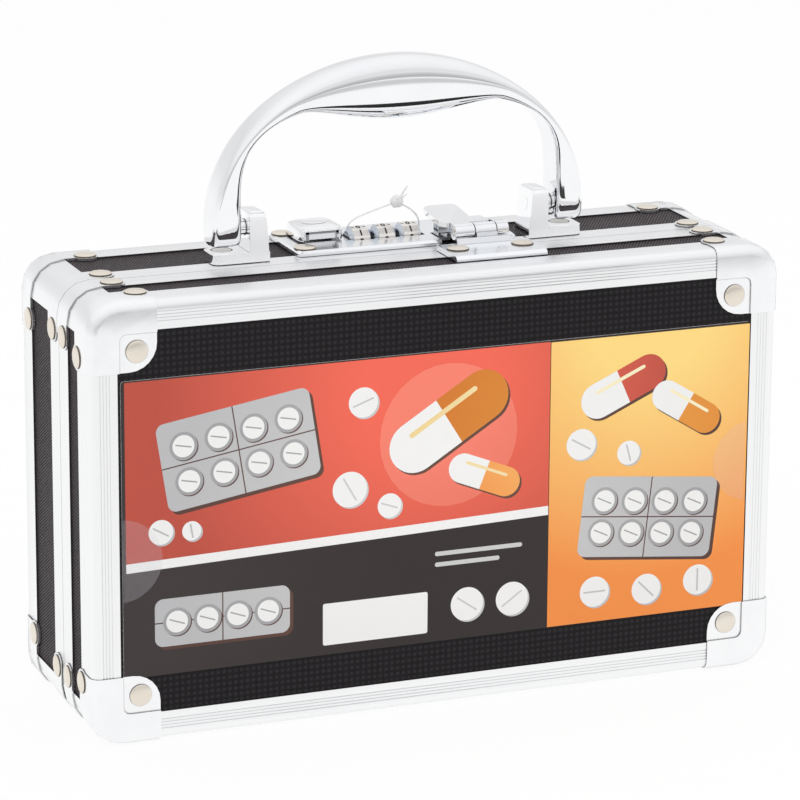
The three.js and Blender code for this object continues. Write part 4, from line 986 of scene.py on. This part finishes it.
def addSpring():
    low, high = boxOf("button_spring")
    middle, length = (low + high) / 2, high.x - low.x
    count, wire = spring["turns"] * spring["perTurn"], spring["wire"]
    reach = (high.y - low.y) / 2 - wire
    places = []
    for i in range(count + 1):
        angle = 2 * math.pi * i / spring["perTurn"]
        x = low.x + wire + (length - 2 * wire) * i / count
        places.append((x, middle.y + reach * math.cos(angle), middle.z + reach * math.sin(angle)))
    bm = bmesh.new()
    addWire(bm, "springWire", "POLY", wire, 1, places)
    faceOutwards(bm)
    piece = toObject(bm, "returnSpring", 60)
    setPiece(piece, "base", "plain_steel", "steel", "button_spring")
    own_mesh(piece)


addSpring()
print("lock dressed")

# nylon tag: a thin loop through the lock with its moulded bead and cut tail
tag = {"y": 15, "foot": 129.55, "start": -11.3, "end": 11.1, "rise": 8.6, "radius": 0.26, "bead": 1.9,
       "beadSquash": (1.05, 0.8), "dimples": 0.12, "crown": 0.69, "above": 0.3,
       # tails: tilt in radians, length and radius
       "tails": ((0.62, 5.4, 0.42), (0.95, 3.6, 0.3)),
       "shares": [(0, 0), (0, 0.22), (0.02, 0.42), (0.14, 0.62), (0.37, 0.79), (0.58, 0.95), (0.69, 1),
                  (0.82, 0.86), (0.94, 0.62), (1, 0.37), (1, 0.22), (1, 0)]}


def tagPlace(along, up):
    x = tag["start"] + (tag["end"] - tag["start"]) * along
    return Vector((x, tag["y"], tag["foot"] + tag["rise"] * up))


def addTag():
    bm = bmesh.new()
    addWire(bm, "tagRoute", "NURBS", tag["radius"], 3, [tagPlace(*share) for share in tag["shares"]])
    crown = tagPlace(tag["crown"], 1)
    bead = bmesh.ops.create_uvsphere(bm, u_segments=20, v_segments=12, radius=tag["bead"])["verts"]
    for v in bead:
        v.co.x *= tag["beadSquash"][0]
        v.co.y *= tag["beadSquash"][1]
        v.co.z += tag["dimples"] * math.cos(3 * v.co.x)
    bmesh.ops.translate(bm, vec=crown + Vector((0, 0, tag["above"])), verts=bead)
    for tilt, length, wide in tag["tails"]:
        lean = Matrix.Translation(crown) @ Matrix.Rotation(tilt, 4, "Y")
        place = lean @ Matrix.Translation((0, 0, length / 2 + tag["above"]))
        bmesh.ops.create_cone(bm, cap_ends=True, segments=10, radius1=wide, radius2=wide * 0.6, depth=length,
                              matrix=place)
    faceOutwards(bm)
    setPiece(toObject(bm, "nylonTag", 50), "base", "nylon", "nylon", "tag_loop")


addTag()
print("tag looped")

# fabric inside: fleece trays glued to the boards, with a row of stitches round each mouth
lining = {"thickness": 1.1, "corner": 6, "floorRound": 1.6, "clear": 0.1, "coverGap": 0.35,
          "stitch": 2.3, "stitchGap": 1.1, "stitchInset": 2.2, "stitchMargin": 8}


def addStitch(bm, point, along, out, length, radius=0.22):
    across = Vector(out).cross(Vector(along)).normalized()
    turn = Matrix((across, Vector(out).normalized(), Vector(along).normalized())).transposed().to_4x4()
    size = Matrix.Diagonal((radius, radius * 0.7, length / 2, 1))
    place = Matrix.Translation(point) @ turn @ size
    bmesh.ops.create_uvsphere(bm, u_segments=6, v_segments=4, radius=1, matrix=place)


def stitchRow(bm, start, end, out, length, gap):
    run = Vector(end) - Vector(start)
    count = max(int(run.length / (length + gap)), 1)
    for i in range(count):
        addStitch(bm, Vector(start) + run * (i + 0.5) / count, run, out, length)


def coverLimits():
    # the lock's cover with a gap round it, across and along
    low, high = boxOf("lock_cover")
    gap = lining["coverGap"]
    return (low.x - gap, high.x + gap), (low.y - gap, high.y + gap)


def cutForCover(bm, top):
    limits = coverLimits()
    for values, normal in zip(limits, (Vector((1, 0, 0)), Vector((0, 1, 0)))):
        for value in values:
            cutThrough(bm, normal * value, normal)
    cut = []
    for f in bm.faces:
        middle = f.calc_center_median()
        if middle.z > top - 1 and all(a < value < b for value, (a, b) in zip(middle, limits)):
            cut.append(f)
    bmesh.ops.delete(bm, geom=cut, context="FACES")


def addLining(shell, sign):
    low, high = boxOf(shell + "_lining")
    middle = (low + high) / 2
    bm = bmesh.new()
    addBlock(bm, middle, high - low - Vector((lining["clear"],) * 3))
    floorY, mouthY = (low.y, high.y) if sign > 0 else (high.y, low.y)
    mouth = [f for f in bm.faces if abs(f.calc_center_median().y - mouthY) < 1]
    bmesh.ops.delete(bm, geom=mouth, context="FACES_ONLY")
    upright = [e for e in bm.edges if abs((e.verts[0].co - e.verts[1].co).y) > 2]
    roundOff(bm, upright, lining["corner"], 7)
    foot = [e for e in bm.edges if all(abs(v.co.y - floorY) < 1 for v in e.verts)]
    roundOff(bm, foot, lining["floorRound"])
    if shell == "base":
        cutForCover(bm, high.z)
    thickenSheet(bm, lining["thickness"],
                 lambda f: (f.calc_center_median() - middle).dot(f.normal) * f.calc_area())
    setPiece(toObject(bm, shell + "Fleece", 40), shell, "lining", "lining", shell + "_lining")

    wall, margin = lining["thickness"] + lining["clear"], lining["stitchMargin"]
    stitch = (lining["stitch"], lining["stitchGap"])
    y = mouthY - sign * lining["stitchInset"]
    start, end = low.x + margin, high.x - margin
    (coverLeft, coverRight), (coverFront, _) = coverLimits()
    bm = bmesh.new()
    for z, out in ((high.z - wall, -1), (low.z + wall, 1)):
        aroundCover = shell == "base" and out < 0 and coverFront < y + 2
        runs = [(start, coverLeft - 1), (coverRight + 1, end)] if aroundCover else [(start, end)]
        for first, last in runs:
            stitchRow(bm, (first, y, z), (last, y, z), (0, 0, out), *stitch)
    for x, out in ((high.x - wall, -1), (low.x + wall, 1)):
        stitchRow(bm, (x, y, low.z + margin), (x, y, high.z - margin), (out, 0, 0), *stitch)
    setPiece(toObject(bm, shell + "Stitches", 60), shell, "elastic", "thread")


# elastic strap: a band sewn down between its pen loops
strap = {"steps": 20, "thickness": 0.8, "loops": 4, "rise": 1.5, "pinch": 0.04, "droop": 0.25,
         "endSeam": 1.2, "seamHalf": 0.5, "stitch": (1.3, 0.35)}


def addStrap():
    low, high = boxOf("lid_elastic_strap")
    middle, width, length = (low + high) / 2, high.x - low.x, high.z - low.z
    floorY = low.y + 0.05
    bm = bmesh.new()
    bmesh.ops.create_grid(bm, x_segments=8, y_segments=strap["loops"] * strap["steps"], size=0.5)
    for v in bm.verts:
        share = (v.co.y + 0.5) * strap["loops"] % 1
        bulge = strap["rise"] * math.sin(math.pi * share) ** 2
        edge = 1 - strap["droop"] * (abs(v.co.x) * 2) ** 4
        x = middle.x + v.co.x * width * (1 - strap["pinch"] * (1 - math.sin(math.pi * share)))
        v.co = (x, floorY + bulge * edge, middle.z + v.co.y * length)
    thickenSheet(bm, strap["thickness"], lambda f: -f.normal.y)
    setPiece(toObject(bm, "penStrap", 50), "lid", "elastic", "elastic", "lid_elastic_strap")
    bm = bmesh.new()
    y = floorY + strap["thickness"] + 0.05
    for i in range(strap["loops"] + 1):
        seam = low.z + length * i / strap["loops"]
        seam = min(max(seam, low.z + strap["endSeam"]), high.z - strap["endSeam"])
        for z in (seam - strap["seamHalf"], seam + strap["seamHalf"]):
            stitchRow(bm, (low.x + 1, y, z), (high.x - 1, y, z), (0, 1, 0), *strap["stitch"])
    setPiece(toObject(bm, "strapStitches", 60), "lid", "elastic", "thread")


# mesh pocket: diamond net under a gathered elastic hem, bound with tape on its other three sides
pocket = {"cells": (20, 17), "thread": 0.32, "tape": 3.4, "tapeThickness": 0.55, "hem": 5.6,
          "hemThickness": 0.6, "gathers": 11, "bulge": 0.9, "proud": 0.75, "netProud": 0.45,
          "netMargins": (3, 4), "stitch": (1.6, 0.7)}


def addPocketNet(low, high, back):
    size, middle = high - low, (high + low) / 2
    bm = bmesh.new()
    bmesh.ops.create_grid(bm, x_segments=pocket["cells"][0], y_segments=pocket["cells"][1], size=0.5)
    square = [e for e in bm.edges if not e.is_boundary]
    bmesh.ops.poke(bm, faces=bm.faces[:])
    bmesh.ops.dissolve_edges(bm, edges=[e for e in square if e.is_valid], use_verts=False)
    sideMargin, topMargin = pocket["netMargins"]
    for v in bm.verts:
        x, z = v.co.x * (size.x - sideMargin), v.co.y * (size.z - topMargin)
        sag = (1 - (2 * v.co.x) ** 2) * (0.5 + v.co.y)
        v.co = (middle.x + x, back - pocket["netProud"] - pocket["bulge"] * sag, middle.z + z - 0.5)
    bmesh.ops.wireframe(bm, faces=bm.faces[:], thickness=pocket["thread"], use_even_offset=True,
                        use_replace=True, use_boundary=True)
    faceOutwards(bm)
    setPiece(toObject(bm, "pocketNet", 50), "base", "elastic", "thread", "base_mesh_pocket")


def addPocketTape(low, high, back):
    bm, stitches = bmesh.new(), bmesh.new()
    tape, top, stitchY = pocket["tape"], high.z - 2, back - pocket["proud"] - 0.3
    bars = ((low.x, low.x + tape, low.z, top, 0), (high.x - tape, high.x, low.z, top, 0),
            (low.x + 1, high.x - 1, low.z, low.z + tape, 0.05))
    for x0, x1, z0, z1, lift in bars:
        x, z = (x0 + x1) / 2, (z0 + z1) / 2
        addBlock(bm, (x, back - pocket["proud"] - lift, z), (x1 - x0, pocket["tapeThickness"], z1 - z0))
        ends = ((x0 + 1, z), (x1 - 1, z)) if x1 - x0 > z1 - z0 else ((x, z0 + 1), (x, z1 - 1))
        stitchRow(stitches, *((u, stitchY - lift, w) for u, w in ends), (0, -1, 0), *pocket["stitch"])
    roundOff(bm, bm.edges[:], 0.12, 2)
    setPiece(toObject(bm, "pocketTape", 50), "base", "elastic", "elastic")
    setPiece(toObject(stitches, "pocketStitches", 60), "base", "elastic", "thread")


def addPocketHem(low, high, back):
    size, middle, hem = high - low, (high + low) / 2, pocket["hem"]
    bm = bmesh.new()
    bmesh.ops.create_grid(bm, x_segments=110, y_segments=6, size=0.5)
    for v in bm.verts:
        ruffle = math.sin(v.co.x * 2 * math.pi * pocket["gathers"]) * (0.28 + 0.12 * math.sin(v.co.x * 31))
        sag = (1 - (2 * v.co.x) ** 2) * pocket["bulge"]
        v.co = (middle.x + v.co.x * (size.x - 0.6), back - pocket["proud"] - sag + ruffle * (0.6 - v.co.y),
                high.z - hem / 2 + v.co.y * hem - 0.1)
    thickenSheet(bm, pocket["hemThickness"], lambda f: -f.normal.y)
    setPiece(toObject(bm, "pocketHem", 50), "base", "elastic", "elastic")


def addPocket():
    low, high = boxOf("base_mesh_pocket")
    for addPart in (addPocketNet, addPocketTape, addPocketHem):
        addPart(low, high, high.y - 0.05)


addLining("lid", 1)
addLining("base", -1)
addStrap()
addPocket()
print("inside lined")
